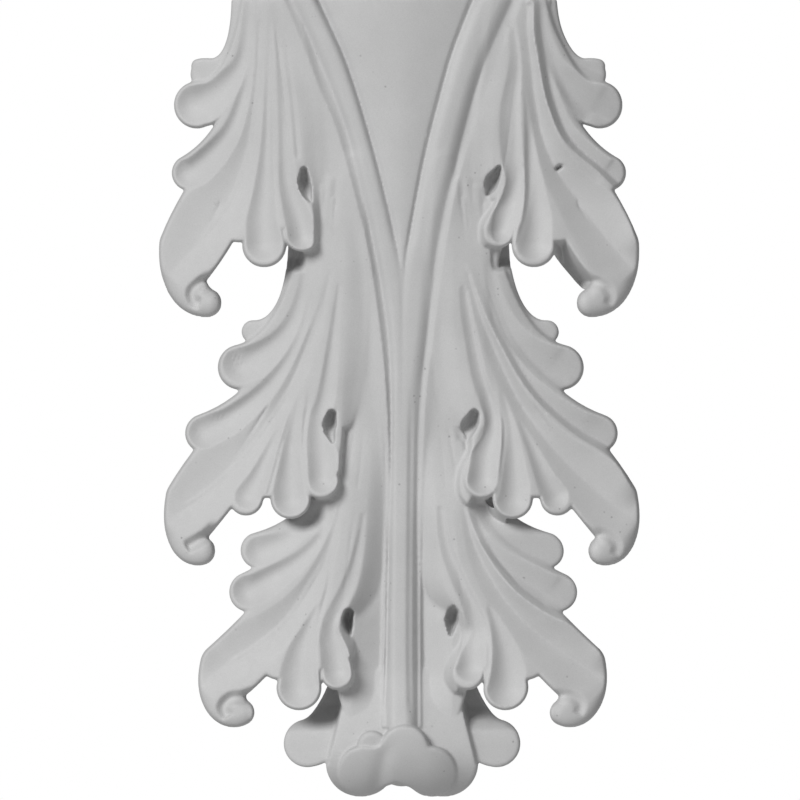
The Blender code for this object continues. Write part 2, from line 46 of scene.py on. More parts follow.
# Overall sizes in millimetres, x across, z up, both from the middle of the back. The smooth body stands off
# the wall by a depth that grows upwards and falls towards the sides
TOP_Z = 175.0
BOTTOM_Z = -175.0
DEPTH_LOW = 50.0
DEPTH_GAIN = 38.0
DEPTH_POWER = 1.6
SIDE_FALL_LOW = 17.0
SIDE_FALL_GAIN = 4.0
SIDE_FALL_POWER = 1.6
SIDE_REACH = 100.0
MOST_SHARE = 1.05

# Leaves: thickness, least thickness, how far their roots reach into the trunk, and how their front and back
# edges are rounded
BLADE = 9.5
LIP = 2.8
ROOT_BACK = 12.0
EDGE_ROUND = 1.8
BACK_ROUND = 5.0

# Half width of the plain trunk behind the leaves at stations of height
TRUNK_Z = (-176, -150, -133, -100, -50, 36, 52, 60, 72, 100, 180)
TRUNK_HALF = (16, 22, 27, 34, 38, 43, 43.4, 42.4, 46, 56, 66)

# Lines of the shaft at stations of height, as distances from the middle plane, and its heights there
SHAFT_Z = (-180, -140, -80, -40, -15, 0) + tuple(np.linspace(30, 180, 11))
SHAFT_LEFT = {
    "edge": 8 * (0,) + (0.2, 2, 5.2, 9, 13, 17.6, 22.6, 29, 36),
    "groove": 7 * (0,) + (0.2, 1.2, 4, 7.5, 11.3, 15.5, 20, 25.3, 32, 39),
    "top": (3, 3, 3, 2.6, 2.4, 2.2, 2.6, 4, 7, 9.4, 13, 16.4, 20.6, 25.6, 31.2, 38.4, 45.4),
    "deep": (7, 6.8, 5.8, 5, 4.6, 4.6, 6.2, 8.2, 10.6, 13.8, 17.4, 20.8, 24.8, 30.4, 36.6, 43.4, 50.4),
    "crest": (8.6, 8.6, 7.2, 6.2, 6.2, 6.8, 9.6, 11.6, 13.8, 17, 20.8, 24.8, 29.4, 35.6, 41.4, 47.4, 54),
    "crest_sink": (5, 5, 4.4, 1.6, 0.6, 0.2) + 11 * (0,),
}
SHAFT_RIGHT = {
    "edge": 8 * (0,) + (0.5, 2.6, 5.2, 8, 11.4, 15.4, 19.6, 25, 31),
    "groove": 7 * (0,) + (0.5, 1.5, 4, 6.8, 9.8, 13.4, 17.4, 21.6, 27.2, 33.4),
    "top": (1, 1, 1.2, 1.6, 2, 2.4, 5.6, 7, 8.6, 11.2, 14.4, 18, 21.8, 25.8, 31, 37.4, 44),
    "deep": (7, 6.8, 6.6, 6.6, 7, 7.8, 11, 12.8, 14.4, 17, 20, 23.8, 27.6, 31.8, 37.2, 43.8, 50.6),
    "crest": (8.6, 8.4, 8, 8.6, 9.6, 10.2, 14, 16, 18, 20.4, 23, 27, 32, 37.6, 43, 49, 55),
    "crest_sink": (5, 5, 4.4, 2.4, 1.8, 1.6, 1.4, 1.2, 1, 0.8, 0.8, 1.4, 1.6, 1.6, 1.4, 1, 0.8),
}
RIB_RISE = (0, 0, 0, 0, 0, 0.2, 0.4, 0.5, 0.6, 0.7, 0.8, 0.9, 1, 1, 1, 1, 1)
GROOVE_SINK = (5.2, 5.2, 5, 3.6, 2.8) + 12 * (2.6,)
VALLEY_SINK = (6.5, 8, 6.8, 4.2, 3.2, 2.8, 2.4, 2.2, 2, 2.2, 2, 1.6, 1.2, 1, 1, 1, 1)
RIB_POWER = 4
GROOVE_POWER = 2.2
CREST_POWER = 1.6
LEAST_SPAN = 0.05
PANEL_CROWN = 2.6
PANEL_HALF = 40.0
PANEL_STEP = 2.0
PANEL_STEP_RUN = 4.0

# Channels beside the rib: their width, and how they lean in towards the rib between two heights
CHANNEL_RUN = (2, 2, 2, 2.5, 5, 7) + 11 * (7.5,)
CHANNEL_LEAN = 0.5
CHANNEL_X = 9.0
CHANNEL_WIDE = 13.0
CHANNEL_TOP_Z = -76.0
CHANNEL_LOW_Z = -146.0
CHANNEL_FADE = 22.0

# The trunk's end, passing behind the rolled tip
FOOT_PASS = 14.0
FOOT_PASS_Z = -143.0
FOOT_PASS_RUN = 6.0
TRUNK_FOOT_Z = -150.0

# Leaf lobes, each a finger along a curve: root, leaving point, arriving point, tip, first, middle and last
# half width
TOP_LEAF = {
    "ear": ((72.2, 182), (72.4, 158), (74, 145), (85.7, 142.7), 2.4, 3.2, 7),
    "ear_corner": ((78, 144), (82, 146.6), (86, 147), (89.4, 146.4), 3, 3.2, 3),
    "upper": ((66.6, 182), (67, 152), (74, 131), (89.7, 129.3), 3.4, 6.6, 10.3),
    "middle": ((63, 178), (67, 132), (77.5, 110.5), (93.2, 99.6), 1.6, 4.8, 7.8),
    "tip_outer": ((63.6, 164), (65, 118), (86, 98), (96.9, 68), 1.2, 6.8, 9.6),
    "tip_inner": ((64.6, 122), (67, 98), (72, 81), (91.5, 57.5), 1.4, 5.8, 7.8),
    "hook": ((96.9, 68), (97.6, 56), (94.6, 44.6), (85.4, 42.6), 9.6, 8.9, 6.3),
    "lower": ((62.4, 184), (60.5, 144), (62, 100), (60.3, 67.8), 2.6, 4.7, 9.7),
    "inner": ((58.6, 184), (53.4, 138), (51.4, 98), (43.7, 73.3), 1.7, 2.9, 8.4),
    "roll": ((57.8, 184), (49, 148), (44.6, 114), (40.6, 79.5), 2.2, 4.4, 6.6),
    "web": ((64, 182), (62, 140), (68, 110), (71.2, 78.6), 6, 10, 9.6),
    "seam": ((58, 160), (56.4, 120), (55.6, 100), (53.6, 79), 3, 4.4, 5),
    "slope": ((54, 184), (44, 150), (39.6, 122), (39, 97), 5, 6, 4.4),
}
MIDDLE_LEAF = {
    "ear": ((47.4, 80), (46, 50), (52, 31), (65.4, 30), 2.8, 3.2, 5),
    "upper": ((41, 84), (42, 40), (54, 20), (71, 14.4), 3, 7, 9.9),
    "middle": ((35.5, 92), (38.5, 30), (58, -2), (86.8, -14.6), 2.2, 5.2, 8.5),
    "tip_outer": ((31.5, 96), (38, 22), (77.5, -12), (94.4, -43), 1.6, 6.8, 9.5),
    "tip_inner": ((30.4, 88), (34, 12), (64, -24), (90, -54), 1.4, 5.4, 7.8),
    "hook": ((94.4, -43), (95.8, -54), (95, -65), (88.4, -66.2), 9.5, 9.2, 6.4),
    "small": ((28.4, 84), (35, 12), (60, -15), (68.4, -43.2), 1.2, 5, 7.5),
    "lower": ((26.4, 96), (31, 26), (49.6, 0), (48.8, -43.2), 1.3, 4.7, 8.9),
    "inner": ((24.4, 104), (28, 40), (42, 2), (35.4, -35.5), 1.3, 4.2, 7.8),
    "roll": ((23, 106), (23.4, 50), (28, 10), (32.4, -29.6), 1.8, 4.6, 5.4),
    "web": ((34, 70), (38, 20), (54, 0), (59.4, -35.4), 5, 8, 7.6),
    "seam": ((31, 70), (35, 36), (42.6, 6), (41.6, -30), 2.4, 4, 5),
    "slope": ((21, 104), (19, 50), (20, 14), (25, -8), 4, 6, 4.6),
}
LOW_LEAF = {
    "ear": ((30, -26), (36, -50), (48, -60), (63, -66), 3, 5.4, 7.9),
    "upper": ((25, -20), (31, -50), (47, -73), (67.2, -84.3), 2.6, 5.6, 8.7),
    "tip_outer": ((21.6, -8), (28, -60), (57, -94), (79, -116.4), 1.4, 6.2, 9.8),
    "tip_inner": ((30, -58), (42, -94), (56, -108), (75, -123.6), 1, 6.2, 9),
    "hook": ((79, -116.4), (80.6, -128), (78, -137), (70.6, -137.2), 9.8, 9.6, 5.8),
    "lower": ((18.6, -4), (23, -60), (43, -92), (45.2, -126.2), 1.4, 4.9, 9.9),
    "inner": ((16.6, 0), (20, -50), (36, -92), (28.3, -120), 1.3, 3.7, 7.2),
    "roll": ((14.6, 0), (16, -50), (20.6, -78), (25.2, -109), 1.8, 4.4, 5),
    "web": ((26, -50), (34, -84), (44, -100), (54, -113.6), 5, 8, 9.2),
    "seam": ((20, -40), (28, -74), (36.6, -94), (37, -114), 2.4, 4, 5),
    "slope": ((12, 4), (11.6, -40), (12.6, -76), (17.6, -95), 4.4, 6.4, 5.2),
}
FOOT_LEAF = {
    "side": ((22, -108), (25, -138), (33, -149.4), (41.6, -151), 5, 9.4, 10.4),
}
FOOT_END = {
    "end": ((14, -108), (15, -130), (17, -150), (18.2, -159.6), 9, 12.4, 15.2),
    "end_middle": ((0, -108), (0, -130), (0, -150), (-0.6, -156), 12, 12, 14),
}
LOBE_STEPS = 20
LOBE_LEAST_HALF = 0.8
LOBE_MARGIN = 3.0
FAR_OUT = 9.0

# The foot: how far it is set back, sweeps forward and turns under, and how its side lobes lie
FOOT_SET_BACK = 6.5
FOOT_CURL = 9.0
FOOT_CURL_Z = -118.0
FOOT_CURL_RUN = 34.0
FOOT_ROOT_SINK = 15.0
FOOT_ROOT_Z = -146.0
FOOT_ROOT_RUN = 12.0
FOOT_THICK = 13.5
FOOT_END_RISE = 4.0
FOOT_TURN_Z = -152.0
FOOT_TURN_RADIUS = 25.0
FOOT_TURN_DEPTH = 38.0
FOOT_TURN_MOST = 0.99
FOOT_OVER_RUN = 1.6
FOOT_TOP_SINK = 7.0
FOOT_TOP_Z = -120.0
FOOT_TOP_RUN = 14.0

# Leaf tiers: lobes, stations of height, how far the leaf is lifted there
TIERS = {
    "top_leaf": (
        TOP_LEAF,
        (40, 62, 75, 90, 105, 120, 140, 176),
        (12.5, 11, 8.5, 5.2, 3, 1.6, 0.6, 0),
    ),
    "middle_leaf": (
        MIDDLE_LEAF,
        (-74, -50, -35, -20, -7, 10, 30, 60, 85, 112),
        (13.5, 12, 9.5, 6.5, 4.2, 2.4, 1, 0, -2.5, -9),
    ),
    "low_leaf": (
        LOW_LEAF,
        (-142, -130, -118, -103, -90, -75, -60, -30, -10, 6),
        (12, 11.5, 10, 8, 6.4, 4.8, 3.2, 0.4, -4, -9),
    ),
}

# Inner border of a leaf at stations of height: on the left, and with the bulge on the right
INNER_SIDE = {
    "top_leaf": (
        (70, 84, 105, 120, 135, 150, 165, 182),
        (33.2, 33, 35, 35.8, 39.6, 46.4, 52.6, 59),
    ),
    "middle_leaf": ((-45, -15, 15, 45, 75, 112), (22, 19, 17, 16, 18, 21.5)),
    "low_leaf": (
        (-132, -116, -108, -102, -97, -92, -86, -78, -60, -20, 4),
        (17, 15, 16, 18, 17, 13.5, 10.5, 8.5, 7.4, 7.6, 8.4),
    ),
}
RIGHT_SIDE = {
    "top_leaf": (
        (64, 66, 69, 73, 78, 82, 85, 90, 97, 105, 120, 135, 150, 165, 182),
        (39, 35.8, 33.6, 32.8, 33.2, 35.6, 37.6, 37.8, 36.4, 35, 35.8, 39.6, 46.4, 52.6, 59),
    ),
    "middle_leaf": (
        (-49, -46.5, -43, -38, -32, -27, -22, -18, -12, -4, 15, 45, 75, 112),
        (29, 24.4, 21.4, 20.2, 20.8, 22.6, 24.8, 25, 22.5, 19.6, 17, 16, 18, 21.5),
    ),
    "low_leaf": (
        (-132, -129, -125, -120, -115, -110, -105, -101, -96, -88, -60, -20, 4),
        (22, 18.6, 15.7, 14.4, 15, 17, 19.4, 20, 17, 10, 7.4, 7.6, 8.4),
    ),
}

# How much nearer the middle plane the right leaves lie, at stations of height
RIGHT_SHIFT = {
    "top_leaf": ((60, 100, 130, 150, 164, 182), (2.6, 2.8, 3.4, 3.6, 6, 7.4)),
    "middle_leaf": ((-60, 0, 30, 60), (0.2, 0.8, 1.6, 3)),
    "low_leaf": ((-140, -84, -60), (0, -1, 0.2)),
}

# Inner rolls: stations of height, widths, how far below the smooth body they end, how late they turn down
ROLLS = {
    "top_leaf": ((60, 82, 92, 120, 180), (6, 6, 7.5, 8.5, 9), (9, 9, 7, 4, 3), (1.1, 1.1, 1.5, 1.7, 1.7)),
    "middle_leaf": (
        (-48, -22, -12, 15, 60), (6, 6, 8, 9, 9), (9, 8.5, 7, 4.5, 3.5), (1.1, 1.1, 1.5, 1.7, 1.7),
    ),
    "low_leaf": (
        (-132, -120, -105, -90, -75, -60, -45, -30, 0),
        (6, 7, 9, 11.5, 10.6, 9.6, 8.6, 7.4, 6.6),
        (9.5, 9.5, 9.5, 8.6, 7.6, 6.6, 5.4, 4.6, 4),
        (1.1, 1.1, 1.3, 1.7, 1.7, 1.7, 1.7, 1.7, 1.7),
    ),
}

# Lobes that differ on the right
RIGHT_LOBES = {
    "top_leaf": {
        "flank": ((41.6, 92), (38.6, 86), (37.4, 80), (38.2, 72.4), 2.4, 4.6, 5.2),
        "inner": ((58.6, 184), (53.4, 138), (54.4, 98), (44.7, 73.6), 1.7, 3.4, 7.2),
        "roll": ((57.8, 184), (49, 148), (46, 120), (41.6, 92), 2.2, 4.8, 5),
    },
    "middle_leaf": {
        "flank": ((31, -18), (26, -26), (24.6, -34), (26.2, -41.8), 2.2, 5, 5),
        "roll": ((23, 106), (23.4, 50), (29, 12), (31.6, -14), 1.8, 4.6, 4.6),
    },
    "low_leaf": {
        "flank": ((23.6, -101), (19.6, -109), (18.2, -117), (19.8, -124.8), 1.8, 4.4, 5.2),
        "roll": ((14.6, 0), (16, -50), (20.6, -78), (23.4, -98), 1.8, 4.4, 4),
    },
}

# How far the inner side is lifted at stations of height, and where the rest of the leaf takes over
INNER_LIFT = {
    "top_leaf": ((40, 66, 78, 88, 100, 120, 176), (9, 8.5, 6.4, 3.2, 1, 0.2, 0)),
    "middle_leaf": (
        (-74, -44, -30, -18, -6, 20, 60, 74, 86, 98, 112),
        (11, 10, 7.4, 3.6, 1.2, 0.2, 0, -0.6, -1.8, -4, -8),
    ),
    "low_leaf": (
        (-142, -126, -116, -104, -92, -60, -35, -20, -8, 8), (9, 9, 7.4, 4.4, 2, 0.6, -0.6, -2.4, -5, -9),
    ),
}
OUTWARD_START = 3.0
OUTWARD_RUN = 14.0

# Joints of the leaves with the trunk: clear below a height, grown out of it above another, how softly
BLENDS = {
    "top_leaf": (82, 100, 3),
    "middle_leaf": (-22, -4, 3),
    "low_leaf": (-110, -96, 1.6),
}
BLEND_SIDE_RUN = 8.0
BLEND_RUN_OUT = 3.0

# Slope of the walls round a leaf where it stands clear, and where it grows out of the trunk
CLIFF = 12.0
ROOT_SLOPE = 1.0

# Lobes that lie behind the rest of their leaf, how far, and below which height they do
LOW_LOBES = ("ear", "ear_corner", "flank")
EAR_SINK = 2.6
EAR_START = 1.2
EAR_RUN = 2.0
EAR_TOP = {"low_leaf": (-94.0, 4.0)}

# Hooked tips, rounder at their edges: below z, beyond across, more edge radius
HOOKS = {
    "top_leaf": (60, 74, 4.6),
    "middle_leaf": (-52, 78, 4.6),
    "low_leaf": (-124, 64, 4.2),
}
HOOK_RUN_Z = 10.0
HOOK_RUN_X = 4.0

# Gouges of each leaf down their deepest lines: x, z, reach to the outer crest, to the inner crest, depth
GOUGES = {
    "top_leaf": {
        "upper": (
            (66.5, 176, 3, 2, 0.5), (67.5, 160, 3.2, 2.6, 1), (70.5, 147, 4, 4.2, 1.9),
            (78, 137.5, 6.5, 6.8, 3.2), (87, 131.8, 7.8, 11, 4.4), (91, 129.6, 8.6, 10, 4.4),
        ),
        "middle": (
            (65.2, 160, 1.5, 1.2, 0.3), (66.8, 145, 2.2, 2.2, 0.8), (70, 131, 3, 3.4, 1.6),
            (75, 118, 4, 4.8, 2.4), (83, 108.5, 4.8, 7.4, 3.5), (91, 101.5, 5.4, 8.5, 4),
            (93.6, 99.6, 6.6, 8, 3.8),
        ),
        "tip": (
            (62.3, 165, 1.2, 1.6, 0.4), (63, 145, 1.8, 2.4, 0.8), (64, 130, 3, 3.6, 1.3),
            (66, 115, 5, 5.4, 2), (69, 103, 8, 7, 2.3), (75, 88, 14, 9.5, 2.7), (81, 79, 17, 12, 3),
            (90, 68, 16, 14, 3), (98, 59.5, 10, 15, 2.3), (103, 54, 4, 16, 1),
        ),
        "lower": (
            (57.5, 165, 1.4, 1.2, 0.5), (57.8, 145, 1.8, 1.5, 0.9), (58.4, 125, 2.6, 1.8, 1.3),
            (59, 108, 3.8, 2.6, 1.9), (60, 92, 5.4, 4.4, 2.6), (60.6, 79, 7.8, 5.8, 3.6),
            (60.4, 69, 8.8, 7.4, 4.2),
        ),
        "inner": (
            (54.5, 165, 1.2, 1.6, 0.6), (53, 145, 1.8, 2.4, 1), (51.8, 125, 2.4, 3.4, 1.4),
            (51, 108, 3, 3.8, 1.7), (49.6, 95, 4.4, 3.6, 2.4), (46.8, 84, 5.6, 5.5, 3.4),
            (44.3, 76, 6.6, 6.6, 4.2), (43.6, 72, 6.8, 6.6, 4.2),
        ),
    },
    "middle_leaf": {
        "upper": (
            (42.5, 58, 1.8, 3.5, 0.4), (43.8, 48, 2.4, 3.6, 0.8), (46.5, 38, 3.4, 3.8, 1.3),
            (51, 30, 4, 5.5, 2), (58, 23.5, 4.6, 8, 2.9), (66, 18.5, 6, 10, 3.8), (70, 16, 8, 10, 4),
        ),
        "middle": (
            (41, 45, 1.2, 1.2, 0.3), (43, 34, 2, 2.2, 0.6), (47.5, 22, 2.8, 3.2, 1.1),
            (53.5, 12, 3.4, 4.6, 1.7), (61, 3.5, 4, 6.4, 2.5), (69.5, -3.5, 4.5, 7.4, 3.2),
            (79, -9.5, 5, 8.8, 3.8), (86.6, -13.8, 6.8, 8.6, 4),
        ),
        "tip": (
            (31.5, 56, 1, 1.6, 0.3), (34, 45, 1.6, 2.4, 0.7), (37.5, 33, 2.4, 3.4, 1.2),
            (42, 22, 3.2, 4.6, 1.8), (47.5, 9, 4.4, 5.4, 2.3), (53.5, -3, 6.5, 6, 2.7),
            (61, -14, 9, 7, 2.5), (70, -25, 12, 9, 2.8), (79, -34, 15, 11.5, 3), (88, -42, 14, 13, 3),
            (96, -48, 9, 14, 2.3), (102, -52, 3.5, 16, 1),
        ),
        "small": (
            (50.5, -4, 1.2, 1.2, 0.5), (54, -12, 2.2, 2.4, 1), (58.3, -22, 3, 3.2, 1.6),
            (63, -33, 4.5, 4.8, 2.4), (67.5, -41.5, 6.4, 6.6, 3),
        ),
        "lower": (
            (45.5, 2, 1.2, 2.6, 0.5), (47.2, -8, 2.2, 3.6, 1.2), (48.4, -18, 3.8, 4.6, 2.1),
            (49, -29, 5.6, 6, 3.2), (49, -38, 7.6, 7, 4), (48.8, -43, 8.2, 7.8, 4.2),
        ),
        "inner": (
            (27.5, 50, 1, 1.2, 0.4), (29, 38, 1.6, 2, 0.9), (31, 22, 2.4, 3.4, 1.5),
            (32.8, 10, 2.8, 4.6, 1.9), (34.2, 0, 3.6, 5, 2.1), (35.6, -9, 5.5, 3.4, 2.3),
            (35.8, -18, 6.4, 5, 3), (35, -27, 7, 6.6, 3.8), (34.8, -34, 7, 7, 4.1),
        ),
    },
    "low_leaf": {
        "ear": (
            (34, -44, 2, 2, 0.4), (40, -52, 3, 3, 0.8), (48, -59, 4, 5, 1.4), (56, -63.5, 5.5, 6.5, 2.1),
            (62, -66.5, 6.8, 7, 2.5),
        ),
        "upper": (
            (30.5, -48, 1.6, 1.6, 0.4), (34.5, -58, 2.4, 2.4, 0.8), (40, -65.5, 3.2, 3.6, 1.3),
            (47.5, -71.8, 4, 5, 2), (56, -77, 5, 7, 2.9), (64, -81.5, 5.6, 8.5, 3.6),
            (67.2, -83.5, 7, 8.2, 3.6),
        ),
        "tip": (
            (27, -46, 1, 1.4, 0.3), (29.5, -56, 2, 2.8, 0.8), (33, -67, 3, 4.8, 1.4),
            (37.5, -77, 4.2, 6.2, 1.9), (43.5, -87, 6, 7.4, 2.4), (50, -95, 8, 8.4, 2.5),
            (58, -102.5, 10, 10, 2.8), (67, -109, 12, 12, 2.9), (76, -115, 12, 13, 2.7),
            (83, -120, 6.5, 14, 2), (87, -124, 3, 16, 1),
        ),
        "lower": (
            (37.5, -91, 1.2, 1.6, 0.6), (41, -100, 3.4, 3.4, 1.6), (44, -110, 6.2, 5.4, 2.8),
            (45.2, -119, 8.4, 7.2, 3.8), (45.2, -126, 9.2, 8.8, 4.2),
        ),
        "inner": (
            (17, -50, 1, 1.5, 0.4), (18.6, -60, 1.4, 2.6, 0.8), (21, -71, 2, 3.6, 1.3),
            (24, -81, 2.8, 4.4, 1.7), (27.4, -90, 3.8, 3.4, 2), (30.6, -98, 4.6, 3, 2.2),
            (31, -105, 5.4, 5.2, 2.9), (29.6, -112, 6.4, 6.6, 3.8), (28.8, -118.6, 6.8, 6.8, 4.2),
        ),
    },
}
RIGHT_GOUGES = {
    "top_leaf": {
        "tip": (
            (61.6, 172, 2.5, 4.5, 1.4), (59.6, 155, 3, 4.6, 2.1), (59.9, 141, 4, 4.8, 2.5),
            (62, 127, 5.5, 5.4, 3), (65.6, 112, 8, 6.2, 3.2), (70.8, 100, 12, 7.5, 3.3),
            (77.7, 90, 15, 9, 3.4), (84.7, 80, 16.5, 11, 3.4), (92.7, 70, 13, 13, 3.2),
            (99.6, 62, 7, 15, 2.4), (103.6, 56, 3, 16, 1),
        ),
        "inner": (
            (54.5, 165, 1.2, 1.6, 1.2), (53.6, 145, 2, 4, 2.6), (51.9, 125, 3.2, 6, 2.8),
            (51.4, 108, 4.4, 5.6, 3), (52.2, 97, 4.6, 4.4, 3), (51, 89, 6, 4.8, 3.6),
            (48, 81, 7.4, 6.2, 4.4), (46, 74.4, 6.8, 5.2, 4.6),
        ),
    },
    "middle_leaf": {
        "inner": (
            (30.2, 48, 1, 2.8, 1.1), (31.3, 38, 1.2, 3.8, 1.8), (33.9, 20, 2, 4.2, 2.2),
            (36.2, 9, 2.2, 4.6, 2.5), (38.9, 0, 3, 4.4, 2.7), (40.4, -9, 4, 4, 3), (39, -18, 5.4, 5.8, 3.8),
            (36.5, -27, 6.8, 7, 4.6), (35.8, -34.4, 6.8, 7.2, 4.8),
        ),
    },
    "low_leaf": {
        "inner": (
            (17.5, -48, 1, 2.2, 0.8), (19.6, -60, 1.6, 4, 1.5), (21.9, -70, 2.2, 4.2, 1.9),
            (25.4, -80, 2.6, 4.4, 2.1), (29.2, -90, 3, 4.2, 2.4), (31.4, -100, 5.2, 4.8, 2.9),
            (30.2, -109, 6.8, 7.2, 3.8), (29.6, -116.6, 7.2, 7, 4.6),
        ),
    },
}

GOUGE_REACH = 18.0
GOUGE_LEAST = 0.5
GOUGE_END = 0.8
BOWL_POWER = 1.25
CREASE_POWER = 1.15

# Fine ridges and grooves: height, half width, share over which they start, then x and z down the line
LINES = {
    ("top_leaf", -1): (
        (
            -0.9, 1.8, 0.2, (-52.6, 165), (-50.3, 150), (-48.6, 138), (-47.2, 126), (-46.2, 114),
            (-45.4, 104),
        ),
        (
            0.45, 0.9, 0.2, (-62.5, 150), (-63, 140), (-64.2, 128), (-66.2, 114), (-69, 103), (-75, 88),
            (-82, 78), (-90, 68),
        ),
        (-3.2, 3.4, 0.25, (-82, 56), (-88, 51.6), (-92, 47.6), (-91.2, 43.4), (-88, 42)),
    ),
    ("top_leaf", 1): (
        (-0.5, 2, 0.4, (54.4, 118), (55, 105), (55.6, 96), (54.8, 86), (52.6, 77), (50.4, 70), (48.6, 65)),
        (0.45, 0.9, 0.1, (43.6, 104), (45.3, 97), (43.4, 89), (40.4, 83), (39, 77), (39.4, 71), (42, 68)),
        (-1.6, 3.2, 0.25, (80, 52.6), (85, 51.6), (89, 49.6), (91.4, 45.6), (90, 41)),
    ),
    ("middle_leaf", -1): (
        (
            -0.9, 1.5, 0.3, (-39.4, 8), (-41.3, -2), (-42.7, -11), (-43.2, -20), (-42.7, -29), (-41.9, -38),
            (-40.4, -44),
        ),
        (
            -0.7, 1.1, 0.3, (-47, 2), (-48.5, -5), (-50.5, -12), (-53, -20), (-55.5, -30), (-58, -39),
            (-59, -42),
        ),
        (
            0.45, 0.9, 0.2, (-32, 55), (-36, 38), (-40, 27), (-44, 16), (-48, 7), (-58, -9), (-70, -25),
            (-86, -40), (-100, -49),
        ),
        (-3.4, 3.8, 0.25, (-80, -53), (-85, -58.6), (-90, -62), (-95, -65)),
        (0.5, 0.9, 0.1, (-29.6, -19), (-27.9, -24), (-27.3, -30), (-27.9, -36), (-30, -41)),
    ),
    ("middle_leaf", 1): (
        (
            -0.8, 1.4, 0.3, (38.4, 10), (41.4, 0), (44.2, -9), (44.6, -18), (43.6, -27), (42.4, -36),
            (40.4, -45),
        ),
        (
            -0.5, 1, 0.2, (36.6, 58), (37.6, 50), (40.2, 42), (43.4, 33), (47.4, 25), (52.4, 18),
            (58, 11.6), (64.4, 6.6),
        ),
        (
            0.45, 0.9, 0.1, (34.4, -3), (36.2, -8), (35.6, -14), (33, -19), (29.4, -24), (27.4, -30),
            (27.4, -36), (29.6, -41),
        ),
        (-1.6, 3.2, 0.25, (83, -57), (88, -58.6), (92, -60.6), (94.4, -64), (93, -68.6)),
    ),
    ("low_leaf", -1): (
        (
            -0.8, 1.4, 0.3, (-29.5, -62), (-31, -72), (-32.6, -82), (-34.8, -90), (-37, -98), (-38.6, -106),
            (-38.9, -114), (-38.2, -122), (-36.2, -129),
        ),
        (
            0.5, 0.9, 0.1, (-27.6, -93), (-28.5, -99), (-26.4, -104), (-24, -109), (-22.8, -115),
            (-23.2, -121),
        ),
        (
            0.45, 0.9, 0.2, (-32, -62), (-35.4, -72), (-40.4, -81), (-46, -90), (-54, -99.6), (-66, -109),
            (-78, -116.4),
        ),
        (-3.6, 3.8, 0.25, (-62, -126.6), (-69, -130), (-75, -131), (-78.4, -135), (-76, -139.6)),
    ),
    ("low_leaf", 1): (
        (
            -0.8, 1.4, 0.3, (28.6, -79), (32.2, -88), (35.6, -96), (37.6, -104), (38, -112), (37.4, -120),
            (36, -127),
        ),
        (-0.5, 1, 0.2, (36, -60), (42, -70), (47, -76), (52, -82), (58, -86.6), (65, -92)),
        (0.45, 0.9, 0.1, (26, -91), (27.3, -96), (26.4, -101), (23.6, -106), (22.6, -112), (22.6, -120)),
        (-1.6, 3.2, 0.25, (66, -127.6), (71, -129.4), (75.6, -130.6), (78.4, -134), (77, -138.6)),
    ),
    "trunk": (
        (
            -1.4, 1.5, 0.2, (-8.6, 6), (-7, -20), (-6.3, -45), (-6.2, -70), (-6.6, -100), (-7.2, -125),
            (-8.2, -140),
        ),
        (
            0.5, 0.9, 0.15, (-9.6, 20), (-8.2, 0), (-6.6, -20), (-5.4, -45), (-5.2, -70), (-5.6, -100),
            (-6.2, -125), (-7, -140),
        ),
        (-0.7, 1.6, 0.2, (4, 10), (3.6, -30), (3.2, -70), (3, -110), (3.6, -140)),
    ),
}
LINE_END = 0.08
CURVE_STEPS = 4
FAR_OFF = 99.0

# Outer sides of gouges on the right that rise over the next lobe: shares of their depth, how soon they fall
# behind it, and the share of the run over which they end
OVERLAPS = {"tip": 1.7, "middle": 1.5, "upper": 1.5}
OVERLAP_FALL = 3.4
OVERLAP_END = 0.15

# Lobes scooped nearest their lower side on the right: share of the width there, share of the depth, and how
# far past its last station the scoop runs
TURNED = ("ear", "upper", "middle")
TURNED_SHARE = 0.3
TURNED_DEPTH = 0.5
TURNED_REACH = 14.0

# Undersides that show beyond the edge on the right, falling away from it: as the lobes, with the slope last
UNDERSIDES = {
    "top_leaf": {
        "hook": ((69.6, 68.4), (74.5, 64), (79.5, 58.4), (84.4, 51.6), 3.4, 4, 3.6, 5),
    },
    "middle_leaf": {
        "fold": ((34.5, -46), (35.6, -49), (38.4, -51), (42, -52), 3, 3.6, 4, 3.5),
    },
}
UNDER_NEAR = -1.0
UNDER_REACH = 9.0
UNDER_ROUND = 1.0
UNDER_RUN = 0.8

# How the back of a leaf meets the trunk
TRUNK_MARGIN = 1.0
TRUNK_RUN = 6.0

# Outer roots under the tier above: from x, over, from z, over, depth
SHADED_ROOTS = {
    "middle_leaf": (41.6, 3.4, 55.5, 7, 14),
    "low_leaf": (28, 12, -60, 12, 6),
}

